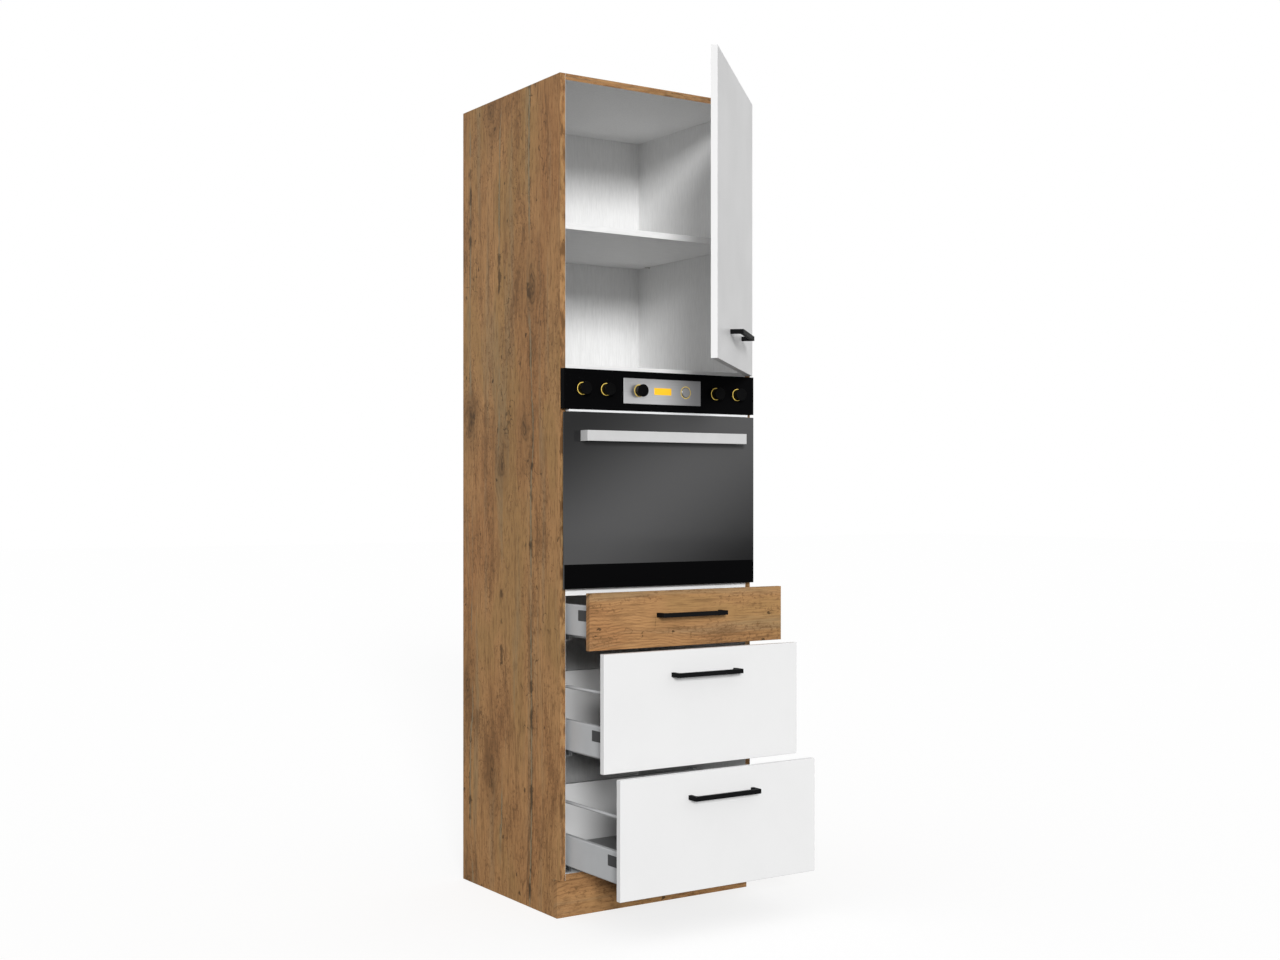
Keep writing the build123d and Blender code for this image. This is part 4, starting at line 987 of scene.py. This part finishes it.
# %% Hinge screws
SIDES = (-1, 1)
WING_HALF = 0.025
WING_THICK = 0.0025
WING_SCREW_BACK = 0.008
WING_SCREW_ASIDE = 0.0165
ARM_RISE = 0.009
ARM_SCREW_BACK = 0.026
plates_low, plates_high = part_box("hinge_plates")
hinge_heights = (plates_low[2] + WING_HALF, plates_high[2] - WING_HALF)
wing_face = plates_high[0] - WING_THICK
wing_depth = plates_low[1] + WING_SCREW_BACK
wing_places = [
    (wing_face, wing_depth, height + side * WING_SCREW_ASIDE) for height in hinge_heights for side in SIDES
]
add_screws("hinge_plate_screws", wing_places, "left", "carcass")

arm_face = plates_low[0] - ARM_RISE
arm_places = [(arm_face, plates_low[1] + ARM_SCREW_BACK, height) for height in hinge_heights]
add_screws("hinge_arm_screws", arm_places, "left", "carcass", radius=0.003)

DOOR_OPEN = radians(44.5)
CUP_FROM_PIVOT = 0.007494
DOOR_FACE_FROM_PIVOT = 0.002
CUP_WING_THICK = 0.0012
CUP_SCREW_ASIDE = 0.0245
along_door = np.array((-cos(DOOR_OPEN), -sin(DOOR_OPEN), 0))
off_door = np.array((-sin(DOOR_OPEN), cos(DOOR_OPEN), 0))
FACING["open door"] = (along_door, (0, 0, 1), off_door)
pivot = np.array(next(joint["pos_m"] for joint in frame["joints"] if joint["name"] == "door_swing"))
cup_wing = pivot + CUP_FROM_PIVOT * along_door + (DOOR_FACE_FROM_PIVOT + CUP_WING_THICK) * off_door
cup_places = [
    (*cup_wing[:2], height + side * CUP_SCREW_ASIDE) for height in hinge_heights for side in SIDES
]
add_screws("hinge_cup_screws", cup_places, "open door", "door")

# %% [markdown]
# The round connectors let into the top board are turned with a screwdriver, so each shows a cross in a
# nearly flat face. The screw recipe gives it with a low dome. The nails that hold the thin backs in their
# rebates come from the same dome with no cross in it, driven home so that only a thin lens stands out.

# %% Top connectors and nails
CAM_FROM_SIDE = 0.024
CAM_FROM_EDGE = 0.060
top_low, top_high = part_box("top_panel")
cam_depths = (top_low[1] + CAM_FROM_EDGE, top_high[1] - CAM_FROM_EDGE)
cam_places = [
    (side * (right_inner - CAM_FROM_SIDE), depth, top_high[2]) for side in SIDES for depth in cam_depths
]
flat_cross = {"radius": 0.0066, "dome": 0.0004, "depth": 0.0004, "material": zinc}
add_screws("top_connector_crosses", cam_places, "top", "carcass", **flat_cross)

NAIL_INSET = 0.005
NAIL_STEP = 0.14


def nail_places(node):
    """Evenly spaced places along the four edges of a back."""
    low, high = (np.array(corner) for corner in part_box(node))
    rear = high[1]
    low, high = low + NAIL_INSET, high - NAIL_INSET
    columns = np.linspace(low[0], high[0], round((high[0] - low[0]) / NAIL_STEP) + 1)
    rows = np.linspace(low[2], high[2], round((high[2] - low[2]) / NAIL_STEP) + 1)[1:-1]
    level = [(x, z) for z in (low[2], high[2]) for x in columns]
    upright = [(x, z) for x in (low[0], high[0]) for z in rows]
    return [(x, rear, z) for x, z in level + upright]


back_nails = nail_places("back_panel_lower") + nail_places("back_panel_upper")
thin_lens = {"radius": 0.0023, "dome": 0.00015, "depth": 0.0, "material": zinc}
add_screws("back_panel_nails", back_nails, "rear", "carcass", **thin_lens)

# %% [markdown]
# ## Studio
#
# A catalogue picture is white all round. A photographer gets there with a lot of light on a sheet of paper,
# which would wash out the white fronts as well. Here the floor is a large pale sheet that looks brighter to
# the camera alone: it is nearly white, keeps the cabinet's soft shadow and throws no extra light on it.

# %% Floor
FLOOR_HALF = 30.0
FLOOR_DROP = 0.0005
FLOOR_SHADE = (0.3, 0.3, 0.3)
FLOOR_GLOW = 0.75
WHITE = (1, 1, 1, 1)
floor_mesh = bpy.data.meshes.new("floor")
floor_corners = FLOOR_HALF * np.array([(-1, -1, 0), (1, -1, 0), (1, 1, 0), (-1, 1, 0)], dtype=float)
floor_mesh.from_pydata((floor_corners - (0, 0, FLOOR_DROP)).tolist(), [], [(0, 1, 2, 3)])
floor = bpy.data.objects.new("floor", floor_mesh)
bpy.context.scene.collection.objects.link(floor)

dull = {"roughness": 0.9, "specular": 0.0}
pale, pale_tree, pale_shader = start_finish("pale floor", FLOOR_SHADE, **dull)
glow = add(pale_tree, "Emission", {"Color": WHITE, "Strength": FLOOR_GLOW})
seen = add(pale_tree, "LightPath").outputs["Is Camera Ray"]
both = add(pale_tree, "AddShader", {0: pale_shader.outputs[0], 1: glow.outputs[0]})
choice = add(pale_tree, "MixShader", {0: seen, 1: pale_shader.outputs[0], 2: both.outputs[0]})
pale_tree.links.new(choice.outputs[0], pale_tree.nodes["Material Output"].inputs[0])
floor_mesh.materials.append(pale)
print("floor", 2 * FLOOR_HALF, "m square")

# %% [markdown]
# The light is even from everywhere, with one broad light from the front, a little to the left and low
# enough to reach into the open cabinet. An area lamp would fall off from the door to the plinth; a sun
# with a wide disc lights the whole height alike and still gives soft edges. The world is white where it is
# seen, in glass and metal too, and weaker as a light.

# %% World and front light
SKY_LIGHT = 0.60
KEY_LEFT = 26.0
KEY_HEIGHT = 15.0
KEY_ENERGY = 2.55
KEY_DISC = 14.0
world = bpy.data.worlds.new("white studio")
world.use_nodes = True
sky = world.node_tree
path = add(sky, "LightPath")
white_seen = maths("MAXIMUM", path.outputs["Is Camera Ray"], path.outputs["Is Glossy Ray"])
white_seen = maths("MAXIMUM", white_seen, path.outputs["Is Transmission Ray"])
strength = add(sky, "Mix", {0: white_seen, 2: SKY_LIGHT, 3: 1.0}, data_type="FLOAT")
background = sky.nodes["Background"]
background.inputs["Color"].default_value = WHITE
sky.links.new(strength.outputs[0], background.inputs["Strength"])
bpy.context.scene.world = world

key_lamp = bpy.data.lights.new("broad front light", "SUN")
key_lamp.energy = KEY_ENERGY
key_lamp.angle = radians(KEY_DISC)
key = bpy.data.objects.new("broad front light", key_lamp)
key.rotation_euler = (radians(90.0 - KEY_HEIGHT), 0, radians(-KEY_LEFT))
bpy.context.scene.collection.objects.link(key)
bpy.context.scene.view_settings.view_transform = "Standard"
print("front light", KEY_LEFT, "degrees to the left and", KEY_HEIGHT, "degrees up")

# %% [markdown]
# ## Camera
#
# The picture was taken from the left front, about a metre up, with the camera level: upright edges stay
# upright. Tilting the camera would frame the cabinet as well, but lean its edges, so the lens is shifted
# up a little instead. The camera's place was fitted to the cabinet's straight edges.

# %% Camera
SENSOR = 36.0
LENS = 45.1
RISE = 0.012375
TURN = 33.63
CAMERA_LEFT = 2.3636
CAMERA_FRONT = 3.4654
CAMERA_HEIGHT = 1.06584
lens = bpy.data.cameras.new("camera")
lens.sensor_width = SENSOR
lens.lens = LENS
lens.shift_y = RISE
camera = bpy.data.objects.new("camera", lens)
camera.location = (-CAMERA_LEFT, front_edge - CAMERA_FRONT, CAMERA_HEIGHT)
camera.rotation_euler = (radians(90), 0, radians(-TURN))
bpy.context.scene.collection.objects.link(camera)
bpy.context.scene.camera = camera
print("camera at", tuple(camera.location))
